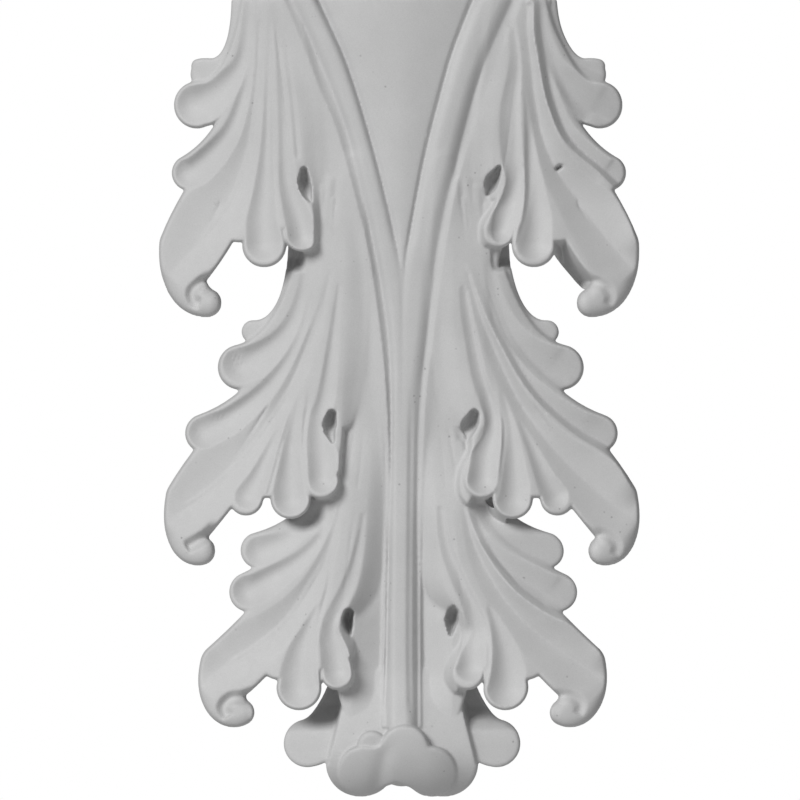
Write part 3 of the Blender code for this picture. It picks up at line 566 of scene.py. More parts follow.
# Drilled eyes: x, z, reach to the left, reach to the right, depth before it is scaled
EYES = (
    (
        (-42.9, 100.4, 1.6, 1.6, 5), (-42.8, 96, 2.8, 2.6, 7.5), (-41.6, 91, 2.6, 2.2, 6),
        (-40, 87, 0.8, 0.8, 3),
    ),
    ((42.2, 101.4, 1.2, 1.4, 6), (40.9, 97, 4, 1.9, 8), (39.2, 93, 3.4, 2, 6.5), (37.6, 90.2, 1.2, 0.9, 3)),
    (
        (-30.8, -6.2, 2.2, 2.2, 8), (-31.2, -10, 3.4, 2.6, 8.5), (-31, -14, 3, 1.6, 6.5),
        (-30.4, -18.4, 0.8, 0.8, 3),
    ),
    (
        (31.8, -6.4, 2.6, 2.2, 8), (30.9, -10, 4.6, 2.6, 8.5), (29.9, -13.6, 4.4, 2, 6.5),
        (28.8, -17, 0.9, 0.9, 3),
    ),
    (
        (-23.4, -93.2, 2.2, 2.2, 8), (-23.8, -96.4, 2.8, 2.4, 8.5), (-23.4, -99.6, 2.4, 1.6, 6.5),
        (-22.8, -103, 0.8, 0.8, 3),
    ),
    (
        (23, -93.2, 3.2, 2, 8), (22.2, -96.6, 3.4, 2.6, 8.5), (21.8, -99.8, 2.4, 1.6, 6.5),
        (21.4, -103, 0.8, 0.8, 3),
    ),
)
EYE_DEPTH = 1.35
EYE_REACH = 6.0

# Flaws of the casting: pits as x, z, radius, depth, and rough patches as x, z, radius, height, with the
# waves that roughen them
PITS = (
    (67.9, 101.2, 0.9, 3),
    (68.9, 102, 1, 3),
    (69.8, 102.3, 0.8, 2.4),
    (22, 158.5, 0.7, 1),
)
ROUGH = (
    (-72, 18, 7, 0.45),
    (-80, -8, 6, 0.5),
    (-88, -15, 5, 0.4),
    (-98, 101, 5, 0.3),
    (47.5, 163, 4, 0.6),
    (55, 172, 3, 0.4),
    (-83, -62, 4, 0.6),
)
ROUGH_WAVES = ((2.3, 1.7), (1.1, -2.9), (4.1, -3.3))
ROUGH_THIRD = 0.6
PIT_EDGE = 1.5

# Rolled tip at the foot: its lobes as centre and radius, and the small lobe behind them on the left
TIP_LOBES = (
    (1.2, -153, 10.8),
    (-17.2, -163, 11.4),
    (13.2, -163.3, 11.4),
    (-8, -160.4, 9),
    (3, -160.6, 9),
)
TIP_SECOND = (-13.2, -151.6, 6.4)
TIP_SECOND_SINK = 1.8
TIP_SECOND_RUN = 0.8
TIP_BLEND = 0.9
TIP_CREST_Z = -139.0
TIP_ROLL = 37.0
TIP_ROLL_MOST = 0.985
TIP_RISE = 11.0
TIP_ROOT = 16.0
TIP_EDGE_ROUND = 2.2
TIP_SIDE_FALL = 3.0
TIP_MIDDLE_X = -2.5
TIP_FLAT_HALF = 12.0
TIP_SIDE_RUN = 14.0
TIP_LOW_Z = -169.0
TIP_LOW_RUN = 9.0

# Furrow down the rolled tip: x, z, slant, width, depth, and the height where it starts
FURROW = (-8.5, -160.0, 0.2, 3.5, 1.4)
TIP_LIP_Z = -147.0
TIP_LIP_RUN = 10.0

# Grain of the sheets and of the skin over them, in millimetres, and the boxes that the sheets are cut from
SHEET_STEP = 0.6
CUT_LEAST = 0.12
CUT_MOST = 0.88
VOXEL = 0.5
SOFT_FACTOR = 0.5
SOFT_STEPS = 3
MOST_FACES = 194000
TRUNK_BOX = (-67.0, 67.0, -151.0, 175.0)
FOOT_BOX = (-54.0, 54.0, -176.0, -98.0)
TIP_BOX = (-30.0, 26.0, -175.0, -141.0)
BOX_MARGIN = 1.0
BOX_INNER_MARGIN = 4.0

# Primer: scales of its noises to the metre, and the tones, roughness and relief that they give; the pores
# also darken the colour, which is painted shade in their hollows
PRIMER_COLOUR = (0.56, 0.56, 0.56)
MOTTLE_SCALE = 38.0
MOTTLE_TONES = (0.955, 1.03)
GRAIN_SCALE = 1900.0
GRAIN_TONES = (0.95, 1.05)
PORE_SCALE = 210.0
PORE_EDGES = (0.05, 0.13)
PORE_PATCH_SCALE = 60.0
PORE_PATCH_EDGES = (0.52, 0.66)
# How much the pores darken the colour: painted shade in their hollows
PORE_PAINTED_SHADE = 0.35
SHEEN_SCALE = 420.0
ROUGHNESS = (0.56, 0.72)
SPECULAR = 0.35
RELIEF_SCALE = 1500.0
BUMP_STRENGTH = 0.5
BUMP_DISTANCE = 0.00012

# Light, floor and camera, in metres and degrees
AMBIENT = 0.18
KEY_TOWARDS = (-0.48, -0.83, 0.45)
KEY_STRENGTH = 2.31
KEY_SPREAD = 22.0
FILL_TOWARDS = (0.5, -1.0, 0.4)
FILL_STRENGTH = 0.1
FILL_SPREAD = 90.0
FLOOR_Z = -0.9
FLOOR_REACH = 6.0
FLOOR_CELLS = 8
FLOOR_COLOUR = (0.86, 0.86, 0.86)
FLOOR_ROUGHNESS = 0.9
SENSOR = 36.0
FRAME_WIDTH = 0.35
CAMERA_AWAY = 6.0
FOCUS_DEPTH = 0.07
CAMERA_X = -0.0009
CAMERA_Z = 0.0
CAMERA_CLIP = (0.1, 60.0)


def smooth(value):
    """A soft step from 0 to 1."""
    value = np.clip(value, 0.0, 1.0)
    return value * value * (3.0 - 2.0 * value)


def along(z, heights, values):
    """A value read off its stations of height, with rounded joints."""
    heights = np.asarray(heights)
    values = np.asarray(values)
    slopes = np.gradient(values, heights)
    z = np.clip(z, heights[0], heights[-1])
    place = np.clip(np.searchsorted(heights, z) - 1, 0, len(heights) - 2)
    span = heights[place + 1] - heights[place]
    run = (z - heights[place]) / span
    first = (1.0 + 2.0 * run) * (1.0 - run) ** 2 * values[place]
    second = run * (1.0 - run) ** 2 * span * slopes[place]
    third = run**2 * (3.0 - 2.0 * run) * values[place + 1]
    fourth = run**2 * (run - 1.0) * span * slopes[place + 1]
    return first + second + third + fourth


def turned_down(share, radius):
    """How far a quarter round has dropped at a share of its run."""
    return radius * (1.0 - np.sqrt(1.0 - share**2))


def stem_depth(x, z):
    """How far the smooth body stands off the wall."""
    share = np.clip((z - BOTTOM_Z) / (TOP_Z - BOTTOM_Z), 0.0, MOST_SHARE)
    middle = DEPTH_LOW + DEPTH_GAIN * share**DEPTH_POWER
    fall = (SIDE_FALL_LOW + SIDE_FALL_GAIN * share) * np.abs(x / SIDE_REACH) ** SIDE_FALL_POWER
    return middle - fall


def lobe_spine(row):
    """Points down the middle of a lobe, and the half widths there."""
    root, leaving, arriving, tip, start, half, end = row
    run = np.linspace(0.0, 1.0, LOBE_STEPS)[:, None]
    spine = (1.0 - run) ** 3 * np.array(root) + 3.0 * run * (1.0 - run) ** 2 * np.array(leaving)
    spine = spine + 3.0 * run**2 * (1.0 - run) * np.array(arriving) + run**3 * np.array(tip)
    run = run[:, 0]
    swell = 2.0 * half - 0.5 * (start + end)
    width = start * (1.0 - run) ** 2 + 2.0 * swell * run * (1.0 - run) + end * run**2
    return spine, np.maximum(width, LOBE_LEAST_HALF)


def lobe_field(row, x, z):
    """Share of the half width away from the spine of a lobe, and the half width there."""
    spine, width = lobe_spine(row)
    share = np.full(x.shape, FAR_OUT)
    half = np.ones(x.shape)
    reach = width.max() + LOBE_MARGIN
    low = spine.min(axis=0) - reach
    high = spine.max(axis=0) + reach
    near = (x > low[0]) & (x < high[0]) & (z > low[1]) & (z < high[1])
    px = x[near]
    pz = z[near]
    best = np.full(px.shape, FAR_OUT)
    wide = np.ones(px.shape)
    for (ax, az), (bx, bz), start, end in zip(spine[:-1], spine[1:], width[:-1], width[1:]):
        dx = bx - ax
        dz = bz - az
        run = np.clip(((px - ax) * dx + (pz - az) * dz) / (dx * dx + dz * dz), 0.0, 1.0)
        here = start + (end - start) * run
        away = np.hypot(px - ax - dx * run, pz - az - dz * run) / here
        closer = away < best
        best = np.where(closer, away, best)
        wide = np.where(closer, here, wide)
    share[near] = best
    half[near] = wide
    return share, half


def lobes_field(lobes, x, z):
    """Distance inside the outline of a set of lobes."""
    inside = np.full(x.shape, -FAR_OUT)
    for row in lobes.values():
        share, half = lobe_field(row, x, z)
        inside = np.maximum(inside, (1.0 - share) * half)
    return inside


def curve(stations):
    """Stations joined by a smooth curve through them all."""
    rows = np.array(stations)
    before = np.vstack((2.0 * rows[0] - rows[1], rows[:-1]))
    after = np.vstack((rows[1:], 2.0 * rows[-1] - rows[-2]))
    slopes = 0.5 * (after - before)
    parts = []
    for run in np.linspace(0.0, 1.0, CURVE_STEPS, endpoint=False):
        first = (1.0 + 2.0 * run) * (1.0 - run) ** 2 * rows[:-1] + run * (1.0 - run) ** 2 * slopes[:-1]
        second = run**2 * (3.0 - 2.0 * run) * rows[1:] + run**2 * (run - 1.0) * slopes[1:]
        parts.append(first + second)
    points = np.stack(parts, axis=1).reshape(-1, rows.shape[1])
    return np.vstack((points, rows[-1]))


def stroke(stations, x, z, reach):
    """Signed distance from a curve, positive on its left as drawn, its run, and its other values."""
    points = curve(stations)
    away = np.full(x.shape, FAR_OFF)
    run = np.zeros(x.shape)
    extra = np.zeros((points.shape[1] - 2,) + x.shape)
    low = points[:, :2].min(axis=0) - reach
    high = points[:, :2].max(axis=0) + reach
    near = (x > low[0]) & (x < high[0]) & (z > low[1]) & (z < high[1])
    px = x[near]
    pz = z[near]
    best = np.full(px.shape, FAR_OFF)
    side = np.ones(px.shape)
    place = np.zeros(px.shape)
    for index, (start, end) in enumerate(zip(points[:-1], points[1:])):
        dx = end[0] - start[0]
        dz = end[1] - start[1]
        part = np.clip(((px - start[0]) * dx + (pz - start[1]) * dz) / (dx * dx + dz * dz), 0.0, 1.0)
        here = np.hypot(px - start[0] - dx * part, pz - start[1] - dz * part)
        closer = here < best
        best = np.where(closer, here, best)
        side = np.where(closer, np.sign(dx * (pz - start[1]) - dz * (px - start[0])), side)
        place = np.where(closer, index + part, place)
    away[near] = best * side
    run[near] = place / (len(points) - 1)
    for index in range(points.shape[1] - 2):
        extra[index][near] = np.interp(place, np.arange(len(points)), points[:, 2 + index])
    return away, run, extra


def lengthened(stations, over):
    """The stations with one more, this far past the last."""
    last, before = stations[-1], stations[-2]
    over = over / math.hypot(last[0] - before[0], last[1] - before[1])
    beyond = (last[0] + over * (last[0] - before[0]), last[1] + over * (last[1] - before[1]))
    return (*stations, (*beyond, *last[2:]))


def gouged(name, side, across, z):
    """Depth of the gouges that hollow a leaf out, less what rises over the next lobe."""
    gouges = dict(GOUGES[name], **(RIGHT_GOUGES[name] if side > 0 else {}))
    carved = np.zeros(across.shape)
    lifted = np.zeros(across.shape)
    for key, stations in gouges.items():
        turned = side > 0 and key in TURNED
        if turned:
            stations = lengthened(stations, TURNED_REACH)
        away, run, (outer, inner, deep) = stroke(stations, across, z, GOUGE_REACH)
        if turned:
            near = TURNED_SHARE * (outer + inner)
            away = away + inner - near
            outer, inner, deep = outer + inner - near, near, TURNED_DEPTH * deep
        else:
            ending = smooth((run - GOUGE_END) / (1.0 - GOUGE_END))
            more = 0.5 * (inner - outer) * ending
            outer, inner = outer + more, inner - more
        wide = np.maximum(np.where(away > 0.0, outer, inner), GOUGE_LEAST)
        share = np.minimum(np.abs(away) / wide, 1.0)
        bowl = (1.0 - share**2) ** BOWL_POWER
        if key == "tip":
            crease = (1.0 - share) ** CREASE_POWER
            bowl = np.where(away > 0.0, 0.5 * bowl + 0.5 * (1.0 - share), crease)
        carved = np.maximum(carved, deep * bowl)
        if side > 0:
            fall = (wide + OVERLAP_FALL - away) / OVERLAP_FALL
            ramp = np.clip(np.minimum(away / wide, fall), 0.0, 1.0)
            ends = 1.0 if turned else smooth((1.0 - run) / OVERLAP_END)
            lifted = np.maximum(lifted, OVERLAPS.get(key, 0.0) * deep * ramp * ends)
    return carved - lifted


def lined(name, front, x, z):
    """The front with its fine ridges and grooves."""
    for height, wide, fade, *stations in LINES.get(name, ()):
        away, run, _ = stroke(stations, x, z, wide + 1.0)
        share = np.minimum(np.abs(away) / wide, 1.0)
        ends = smooth(run / fade) * smooth((1.0 - run) / LINE_END)
        front = front + height * (1.0 - share**2) ** 2 * ends
    return front


def edge_drop(inside, radius):
    """How far an edge is rounded back at a distance inside it."""
    return turned_down(np.clip(1.0 - inside / radius, 0.0, 1.0), radius)


def eyes_sunk(front, x, z):
    """The front with the drilled eyes sunk into it, deepest on the side of the lobe below."""
    for stations in EYES:
        away, _, (left, right, deep) = stroke(stations, x, z, EYE_REACH)
        share = np.abs(away) / np.where(away > 0.0, right, left)
        sunk = np.clip(1.0 - share**2, 0.0, 1.0) ** 0.5
        front = front - EYE_DEPTH * deep * sunk
    return front


def root_shade(name, across, z):
    """How far the outer root of a leaf lies back under the tier above."""
    if name not in SHADED_ROOTS:
        return 0.0
    side_x, side_run, low_z, rise_run, deep = SHADED_ROOTS[name]
    return deep * smooth((across - side_x) / side_run) * smooth((z - low_z) / rise_run)


def underside_field(rows, across, z):
    """Distance inside the undersides that show, and their slope."""
    under = np.full(across.shape, -FAR_OUT)
    slope = np.zeros(across.shape)
    for *row, fall in rows.values():
        share, half = lobe_field(row, across, z)
        inside = (1.0 - share) * half
        slope = np.where(inside > under, fall, slope)
        under = np.maximum(under, inside)
    return under, slope


def flaws(x, z):
    """Pits and rough patches of the casting, as height."""
    height = np.zeros(x.shape)
    for px, pz, radius, deep in PITS:
        height = height - deep * smooth(PIT_EDGE - np.hypot(x - px, z - pz) / radius)
    first, second, third = (a * x + b * z for a, b in ROUGH_WAVES)
    waves = np.sin(first) * np.sin(second) + ROUGH_THIRD * np.sin(third + 1.0)
    for px, pz, radius, tall in ROUGH:
        height = height + tall * waves * smooth(1.0 - np.hypot(x - px, z - pz) / radius)
    return height


def leaf_across(name, side, x, z):
    """Distance from the middle plane, the right leaves measured as the left ones lie."""
    return side * x + (0.5 + 0.5 * side) * along(z, *RIGHT_SHIFT[name])


def ear_sink(name, main, z):
    """How far the low lobes lie behind the rest of a leaf."""
    sunk = EAR_SINK * smooth((EAR_START - main) / EAR_RUN)
    if name in EAR_TOP:
        top, run = EAR_TOP[name]
        sunk = sunk * smooth((top - z) / run)
    return sunk


def leaf_front(name, side, x, z):
    """Distance inside the outline of a leaf, and its front before it is joined to the shaft."""
    lobes, heights, lifts = TIERS[name]
    across = leaf_across(name, side, x, z)
    roll, roll_deep, roll_turn = (along(z, ROLLS[name][0], values) for values in ROLLS[name][1:])
    if side > 0:
        lobes = dict(lobes, **RIGHT_LOBES[name])
    within = lobes_field(lobes, across, z)
    base = stem_depth(x, z)
    border = across - along(z, *(RIGHT_SIDE if side > 0 else INNER_SIDE)[name])
    outward = smooth((border - OUTWARD_START) / OUTWARD_RUN)
    raised = along(z, heights, lifts) * outward + along(z, *INNER_LIFT[name]) * (1.0 - outward)
    raised = raised - root_shade(name, across, z)
    shoulder = np.clip(1.0 - border / roll, 0.0, 1.0)
    rolled = (raised + roll_deep) * shoulder**roll_turn
    main = lobes_field({key: row for key, row in lobes.items() if key not in LOW_LOBES}, across, z)
    front = base + raised - gouged(name, side, across, z) - rolled - ear_sink(name, main, z)
    hook_z, hook_x, more = HOOKS[name]
    hooked = smooth((hook_z - z) / HOOK_RUN_Z) * smooth((across - hook_x) / HOOK_RUN_X)
    front = front - edge_drop(within, EDGE_ROUND + more * hooked)
    return within, lined((name, side), front + flaws(x, z), x, z)


def leaf_surface(name, side, x, z):
    """Inside distance, front depth and back depth of one leaf."""
    within, front = leaf_front(name, side, x, z)
    across = leaf_across(name, side, x, z)
    inside = within
    if side > 0:
        under, slope = underside_field(UNDERSIDES.get(name, {}), across, z)
        slope = np.where(under > UNDER_NEAR, slope, 0.0)
        front = front - slope * np.clip(-within, 0.0, UNDER_REACH)
        front = front - np.where((within < 0.0) & (under > within), edge_drop(under, UNDER_ROUND), 0.0)
        inside = np.maximum(within, under)
    front = eyes_sunk(front, x, z)
    base = stem_depth(x, z)
    back = base + along(z, *TIERS[name][1:3]) - BLADE + edge_drop(inside, BACK_ROUND)
    trunk = smooth((along(z, TRUNK_Z, TRUNK_HALF) + TRUNK_MARGIN - np.abs(x)) / TRUNK_RUN)
    back = back + trunk * (np.minimum(back, base - ROOT_BACK) - back)
    if side > 0:
        back = np.minimum(back, front - LIP * (1.0 + slope * smooth(-within / UNDER_RUN)))
    return inside, front, np.minimum(back, front - LIP)


def shaft_side(lines, away, z):
    """Height of one half of the shaft, its rib and grooves over the smooth body."""
    edge = np.maximum(along(z, SHAFT_Z, lines["edge"]), LEAST_SPAN)
    groove, top, deep, crest, crest_sink = (
        along(z, SHAFT_Z, lines[key]) for key in ("groove", "top", "deep", "crest", "crest_sink")
    )
    valley = crest + along(z, SHAFT_Z, CHANNEL_RUN)
    rise = along(z, SHAFT_Z, RIB_RISE)
    sink = along(z, SHAFT_Z, GROOVE_SINK)
    valley_sink = along(z, SHAFT_Z, VALLEY_SINK)
    crown = PANEL_CROWN * (groove / PANEL_HALF)
    step = PANEL_STEP * smooth(groove / PANEL_STEP_RUN)

    def part(start, end):
        return np.clip((away - start) / np.maximum(end - start, LEAST_SPAN), 0.0, 1.0)

    height = -crown * np.clip(away / edge, 0.0, 1.0) ** 2 - step * part(edge, groove)
    height = height + (crown + step + rise) * (1.0 - (1.0 - part(groove, top)) ** RIB_POWER)
    height = height - (sink + rise) * part(top, deep) ** GROOVE_POWER
    height = height + (sink - crest_sink) * part(deep, crest) ** CREST_POWER
    return height - (valley_sink - crest_sink) * (1.0 - (1.0 - part(crest, valley)) ** 2)


def shaft_profile(x, z):
    """Height of the shaft over the smooth body."""
    left = shaft_side(SHAFT_LEFT, np.abs(x), z)
    right = shaft_side(SHAFT_RIGHT, np.abs(x), z)
    return np.where(x < 0.0, left, right)


def foot_curl(z):
    """How far the foot sweeps forward."""
    return FOOT_CURL * smooth((FOOT_CURL_Z - z) / FOOT_CURL_RUN)


def trunk_front(x, z):
    """The trunk's front, with its leaning channels and its end behind the rolled tip."""
    lean = CHANNEL_LEAN * np.clip(np.abs(x) - CHANNEL_X, 0.0, CHANNEL_WIDE)
    lean = lean * smooth((CHANNEL_TOP_Z - z) / CHANNEL_FADE) * smooth((z - CHANNEL_LOW_Z) / CHANNEL_FADE)
    end = FOOT_PASS * smooth((FOOT_PASS_Z - z) / FOOT_PASS_RUN)
    return stem_depth(x, z) + shaft_profile(x, z) + foot_curl(z) + lean - end


def peak(first, second, reach):
    """The higher of two surfaces, with the joint filled over the reach."""
    return 0.5 * (first + second + np.sqrt((first - second) ** 2 + reach**2))


def grown(name, front, within, leaf, x, z):
    """The trunk's front with a leaf on it, grown out of it above its eye and standing clear below."""
    low, high, most = BLENDS[name]
    rooted = smooth((z - low) / (high - low))
    outside = np.maximum(-within, 0.0)
    inner = smooth((along(z, TRUNK_Z, TRUNK_HALF) - np.abs(x)) / BLEND_SIDE_RUN)
    reach = most * rooted * inner * smooth(1.0 - outside / BLEND_RUN_OUT)
    return peak(front, leaf - (CLIFF - (CLIFF - ROOT_SLOPE) * rooted) * outside, reach)


def trunk_surface(x, z):
    """The trunk with the shaft and the inner parts of all leaves, down to the wall."""
    inside = along(z, TRUNK_Z, TRUNK_HALF) - np.abs(x)
    inside = np.minimum(inside, z - TRUNK_FOOT_Z)
    front = trunk_front(x, z) - edge_drop(inside, EDGE_ROUND)
    for name in TIERS:
        for side in (-1, 1):
            within, leaf = leaf_front(name, side, x, z)
            front = grown(name, front, within, leaf, x, z)
    return inside, eyes_sunk(lined("trunk", front, x, z), x, z), np.zeros(x.shape)


def foot_surface(x, z):
    """The small leaf at the foot, its end curling forward over two side lobes and turning under."""
    sides = lobes_field(FOOT_LEAF, np.abs(x), z)
    end = lobes_field(FOOT_END, np.abs(x), z)
    inside = np.maximum(sides, end)
    over = np.maximum(smooth(end / FOOT_OVER_RUN), smooth(-sides / FOOT_OVER_RUN))
    base = stem_depth(x, z) - FOOT_SET_BACK
    under = FOOT_END_RISE + FOOT_ROOT_SINK * smooth((z - FOOT_ROOT_Z) / FOOT_ROOT_RUN)
    down = np.clip((FOOT_TURN_Z - z) / FOOT_TURN_RADIUS, 0.0, FOOT_TURN_MOST)
    turned = turned_down(down, FOOT_TURN_DEPTH)
    top = FOOT_TOP_SINK * smooth((z - FOOT_TOP_Z) / FOOT_TOP_RUN)
    front = base + foot_curl(z) - over * turned - (1.0 - over) * under - top
    front = front - edge_drop(inside, EDGE_ROUND)
    back = base - FOOT_THICK + edge_drop(inside, BACK_ROUND)
    return inside, front, np.minimum(back, front - LIP)


def tip_surface(x, z):
    """The curled-over end that closes the middle rib, its outside turning down and under."""
    blend = np.zeros(x.shape)
    for px, pz, radius in TIP_LOBES:
        blend = blend + np.exp((radius - np.hypot(x - px, z - pz)) / TIP_BLEND)
    first = TIP_BLEND * np.log(blend + 1e-9)
    second_x, second_z, second_radius = TIP_SECOND
    inside = np.maximum(first, second_radius - np.hypot(x - second_x, z - second_z))
    down = np.clip((TIP_CREST_Z - z) / TIP_ROLL, 0.0, TIP_ROLL_MOST)
    front = stem_depth(x, np.full(x.shape, TIP_CREST_Z)) + TIP_RISE - turned_down(down, TIP_ROLL)
    furrow_x, furrow_z, slant, width, deep = FURROW
    away = (x - furrow_x - slant * (z - furrow_z)) / width
    furrow = np.exp(-(away**2)) * smooth((TIP_LIP_Z - z) / TIP_LIP_RUN)
    sides = np.clip(np.abs(x - TIP_MIDDLE_X) - TIP_FLAT_HALF, 0.0, TIP_SIDE_RUN) / TIP_SIDE_RUN
    edge = edge_drop(inside, TIP_EDGE_ROUND) * smooth((z - TIP_LOW_Z) / TIP_LOW_RUN)
    front = front - deep * furrow - TIP_SIDE_FALL * sides**2 - edge
    front = front - TIP_SECOND_SINK * smooth((TIP_SECOND_RUN - first) / TIP_SECOND_RUN)
    return inside, front, stem_depth(x, z) - TIP_ROOT


def sheet_cells(inside):
    """Faces of the grid clipped to where the field is positive, with the places of their corners."""
    rows, cols = inside.shape
    places = {}
    order = []
    faces = []

    def corner(key, weight):
        if key not in places:
            places[key] = len(order)
            order.append((key, weight))
        return places[key]

    def crossing(a, b):
        first, second = (a, b) if a < b else (b, a)
        here = inside[first]
        there = inside[second]
        run = min(max(here / (here - there), CUT_LEAST), CUT_MOST)
        return corner((first, second), run)

    positive = inside > 0.0
    active = positive[:-1, :-1] | positive[1:, :-1] | positive[:-1, 1:] | positive[1:, 1:]
    for row, col in np.argwhere(active):
        ring = ((row, col), (row, col + 1), (row + 1, col + 1), (row + 1, col))
        within = [bool(positive[place]) for place in ring]
        if sum(within) == 2 and within[0] == within[2]:
            for turn in range(4):
                if within[turn]:
                    own = ring[turn]
                    after = crossing(own, ring[(turn + 1) % 4])
                    before = crossing(ring[(turn + 3) % 4], own)
                    faces.append((before, corner((own, own), 0.0), after))
            continue
        shape = []
        for turn in range(4):
            own = ring[turn]
            following = ring[(turn + 1) % 4]
            if within[turn]:
                shape.append(corner((own, own), 0.0))
            if within[turn] != within[(turn + 1) % 4]:
                shape.append(crossing(own, following))
        for turn in range(1, len(shape) - 1):
            faces.append((shape[0], shape[turn], shape[turn + 1]))
    return order, faces


def sheet_object(name, surface, box, step):
    """A solid between the front and back depths that a surface gives inside its outline."""
    left, right, low, high = box
    across = np.linspace(left, right, max(2, round((right - left) / step)) + 1)
    upward = np.linspace(low, high, max(2, round((high - low) / step)) + 1)
    grid_x, grid_z = np.meshgrid(across, upward)
    inside = surface(grid_x, grid_z)[0]
    order, faces = sheet_cells(inside)
    px = np.empty(len(order))
    pz = np.empty(len(order))
    for index, ((first, second), run) in enumerate(order):
        px[index] = grid_x[first] + (grid_x[second] - grid_x[first]) * run
        pz[index] = grid_z[first] + (grid_z[second] - grid_z[first]) * run
    field, front, back = surface(px, pz)
    count = len(order)
    points = [(a * MM, -d * MM, b * MM) for a, d, b in zip(px, front, pz)]
    points += [(a * MM, -d * MM, b * MM) for a, d, b in zip(px, back, pz)]
    solid = list(faces)
    solid += [(c + count, b + count, a + count) for a, b, c in faces]
    edges = {(a, b) for face in faces for a, b in zip(face, face[1:] + face[:1])}
    for a, b in edges:
        if (b, a) not in edges:
            solid.append((b, a, a + count))
            solid.append((b, a + count, b + count))
    mesh = bpy.data.meshes.new(name)
    mesh.from_pydata(points, [], solid)
    mesh.validate()
    item = bpy.data.objects.new(name, mesh)
    bpy.context.scene.collection.objects.link(item)
    return item


def applied(item):
    """Makes the item's modifiers real."""
    graph = bpy.context.evaluated_depsgraph_get()
    mesh = bpy.data.meshes.new_from_object(item.evaluated_get(graph))
    item.modifiers.clear()
    item.data = mesh


def leaf_box(name, side):
    """Left, right, low and high limits of a leaf's sheet."""
    lobes = TIERS[name][0]
    spines = [lobe_spine(row) for row in lobes.values()]
    low = min((spine[:, 1] - width).min() for spine, width in spines) - BOX_MARGIN
    high = min(max((spine[:, 1] + width).max() for spine, width in spines) + BOX_MARGIN, TOP_Z)
    near = min((spine[:, 0] - width).min() for spine, width in spines) - BOX_MARGIN
    far = max((spine[:, 0] + width).max() for spine, width in spines) + BOX_MARGIN
    ends = sorted((side * (near - BOX_INNER_MARGIN), side * (far + BOX_MARGIN)))
    return ends[0], ends[1], low, high


def joined(items):
    """One object holding the meshes of them all."""
    form = bmesh.new()
    for item in items:
        form.from_mesh(item.data)
        bpy.data.objects.remove(item, do_unlink=True)
    mesh = bpy.data.meshes.new("casting")
    form.to_mesh(mesh)
    form.free()
    whole = bpy.data.objects.new("casting", mesh)
    bpy.context.scene.collection.objects.link(whole)
    return whole


def cast_mesh():
    """The sheets of trunk, foot, tip and leaves under one skin."""
    step = SHEET_STEP
    voxel = VOXEL
    sheets = [
        sheet_object("trunk", trunk_surface, TRUNK_BOX, step),
        sheet_object("foot", foot_surface, FOOT_BOX, step),
        sheet_object("tip", tip_surface, TIP_BOX, step),
    ]
    for name in TIERS:
        for side in (-1, 1):
            surface = functools.partial(leaf_surface, name, side)
            sheets.append(sheet_object(name, surface, leaf_box(name, side), step))
    whole = joined(sheets)
    remesh = whole.modifiers.new("one skin", "REMESH")
    remesh.mode = "VOXEL"
    remesh.voxel_size = voxel * MM
    remesh.adaptivity = 0.0
    applied(whole)
    soft = whole.modifiers.new("soft", "SMOOTH")
    soft.factor = SOFT_FACTOR
    soft.iterations = SOFT_STEPS
    applied(whole)
    present = sum(len(face.vertices) - 2 for face in whole.data.polygons)
    if present > MOST_FACES:
        fewer = whole.modifiers.new("fewer", "DECIMATE")
        fewer.ratio = MOST_FACES / present
        fewer.use_collapse_triangulate = True
        applied(whole)
    whole.data.shade_smooth()
    return whole


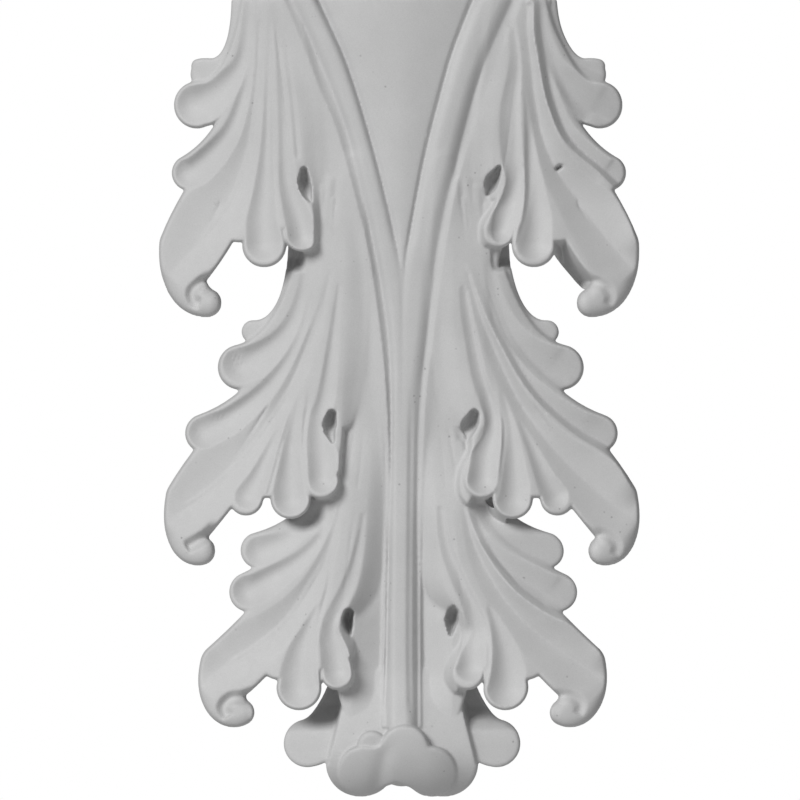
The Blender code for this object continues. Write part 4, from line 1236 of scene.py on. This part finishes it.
def primer_material():
    """Matt primer over a moulded casting: faint mottling, fine grain and a few pores darkened with painted
    shade.
    """
    material = bpy.data.materials.new("primer")
    material.use_nodes = True
    tree = material.node_tree
    nodes = tree.nodes
    links = tree.links
    shader = nodes["Principled BSDF"]
    place = nodes.new("ShaderNodeTexCoord")

    def noise(scale, detail, rough):
        item = nodes.new("ShaderNodeTexNoise")
        item.inputs["Scale"].default_value = scale
        item.inputs["Detail"].default_value = detail
        item.inputs["Roughness"].default_value = rough
        links.new(place.outputs["Object"], item.inputs["Vector"])
        return item.outputs["Fac"]

    def ranged(source, low, high, start, end):
        item = nodes.new("ShaderNodeMapRange")
        item.inputs["From Min"].default_value = low
        item.inputs["From Max"].default_value = high
        item.inputs["To Min"].default_value = start
        item.inputs["To Max"].default_value = end
        links.new(source, item.inputs["Value"])
        return item.outputs["Result"]

    def maths(operation, first, second):
        item = nodes.new("ShaderNodeMath")
        item.operation = operation
        for socket, value in zip(item.inputs, (first, second)):
            if isinstance(value, float):
                socket.default_value = value
            else:
                links.new(value, socket)
        return item.outputs[0]

    mottle = ranged(noise(MOTTLE_SCALE, 4.0, 0.6), 0.3, 0.7, *MOTTLE_TONES)
    grain = ranged(noise(GRAIN_SCALE, 2.0, 0.5), 0.25, 0.75, *GRAIN_TONES)
    cells = nodes.new("ShaderNodeTexVoronoi")
    cells.inputs["Scale"].default_value = PORE_SCALE
    cells.inputs["Randomness"].default_value = 1.0
    links.new(place.outputs["Object"], cells.inputs["Vector"])
    patch = ranged(noise(PORE_PATCH_SCALE, 2.0, 0.5), *PORE_PATCH_EDGES, 0.0, 1.0)
    pore = maths("MULTIPLY", ranged(cells.outputs["Distance"], *PORE_EDGES, 1.0, 0.0), patch)
    # The pores darken the base colour: painted shade in their hollows
    pore_painted_shade = maths("SUBTRACT", 1.0, maths("MULTIPLY", pore, PORE_PAINTED_SHADE))
    tone = maths("MULTIPLY", maths("MULTIPLY", mottle, grain), pore_painted_shade)
    colour = nodes.new("ShaderNodeMix")
    colour.data_type = "RGBA"
    colour.blend_type = "MULTIPLY"
    colour.inputs["Factor"].default_value = 1.0
    colour.inputs["A"].default_value = (*PRIMER_COLOUR, 1.0)
    links.new(tone, colour.inputs["B"])
    links.new(colour.outputs["Result"], shader.inputs["Base Color"])
    sheen = ranged(noise(SHEEN_SCALE, 3.0, 0.6), 0.3, 0.7, *ROUGHNESS)
    links.new(sheen, shader.inputs["Roughness"])
    shader.inputs["Specular IOR Level"].default_value = SPECULAR
    relief = maths("SUBTRACT", maths("MULTIPLY", noise(RELIEF_SCALE, 3.0, 0.6), 0.5), pore)
    bump = nodes.new("ShaderNodeBump")
    bump.inputs["Strength"].default_value = BUMP_STRENGTH
    bump.inputs["Distance"].default_value = BUMP_DISTANCE
    links.new(relief, bump.inputs["Height"])
    links.new(bump.outputs["Normal"], shader.inputs["Normal"])
    return material


def floor_plane():
    """A plain pale floor below the object."""
    bpy.ops.mesh.primitive_grid_add(
        x_subdivisions=FLOOR_CELLS, y_subdivisions=FLOOR_CELLS, size=2.0 * FLOOR_REACH
    )
    floor = bpy.context.object
    floor.name = "floor"
    floor.location = (0.0, 0.0, FLOOR_Z)
    material = bpy.data.materials.new("pale_floor")
    material.use_nodes = True
    shader = material.node_tree.nodes["Principled BSDF"]
    shader.inputs["Base Color"].default_value = (*FLOOR_COLOUR, 1.0)
    shader.inputs["Roughness"].default_value = FLOOR_ROUGHNESS
    floor.data.materials.append(material)


def sun(name, towards, strength, spread):
    light = bpy.data.lights.new(name, "SUN")
    light.energy = strength
    light.angle = math.radians(spread)
    item = bpy.data.objects.new(name, light)
    item.rotation_mode = "QUATERNION"
    item.rotation_quaternion = Vector(towards).to_track_quat("Z", "Y")
    bpy.context.scene.collection.objects.link(item)


def studio_light():
    """A white backdrop for the camera, weaker light all round, and two wide suns."""
    world = bpy.data.worlds.new("studio")
    world.use_nodes = True
    bpy.context.scene.world = world
    nodes = world.node_tree.nodes
    links = world.node_tree.links
    soft = nodes["Background"]
    soft.inputs["Color"].default_value = (1.0, 1.0, 1.0, 1.0)
    soft.inputs["Strength"].default_value = AMBIENT
    seen = nodes.new("ShaderNodeBackground")
    seen.inputs["Color"].default_value = (1.0, 1.0, 1.0, 1.0)
    seen.inputs["Strength"].default_value = 1.0
    path = nodes.new("ShaderNodeLightPath")
    mix = nodes.new("ShaderNodeMixShader")
    links.new(path.outputs["Is Camera Ray"], mix.inputs[0])
    links.new(soft.outputs[0], mix.inputs[1])
    links.new(seen.outputs[0], mix.inputs[2])
    links.new(mix.outputs[0], nodes["World Output"].inputs["Surface"])
    sun("key", KEY_TOWARDS, KEY_STRENGTH, KEY_SPREAD)
    sun("fill", FILL_TOWARDS, FILL_STRENGTH, FILL_SPREAD)


def camera():
    """The photograph's straight front view."""
    lens = bpy.data.cameras.new("camera")
    lens.type = "PERSP"
    lens.sensor_width = SENSOR
    lens.lens = SENSOR * (CAMERA_AWAY - FOCUS_DEPTH) / FRAME_WIDTH
    lens.clip_start, lens.clip_end = CAMERA_CLIP
    item = bpy.data.objects.new("camera", lens)
    item.location = (CAMERA_X, -CAMERA_AWAY, CAMERA_Z)
    item.rotation_euler = (math.radians(90.0), 0.0, 0.0)
    bpy.context.scene.collection.objects.link(item)
    bpy.context.scene.camera = item


corbel = cast_mesh()
corbel.name = "carved_corbel"
corbel.data.materials.clear()
corbel.data.materials.append(primer_material())
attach(corbel, "root")
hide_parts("corbel")
floor_plane()
studio_light()
camera()
bpy.context.scene.view_settings.view_transform = "Standard"
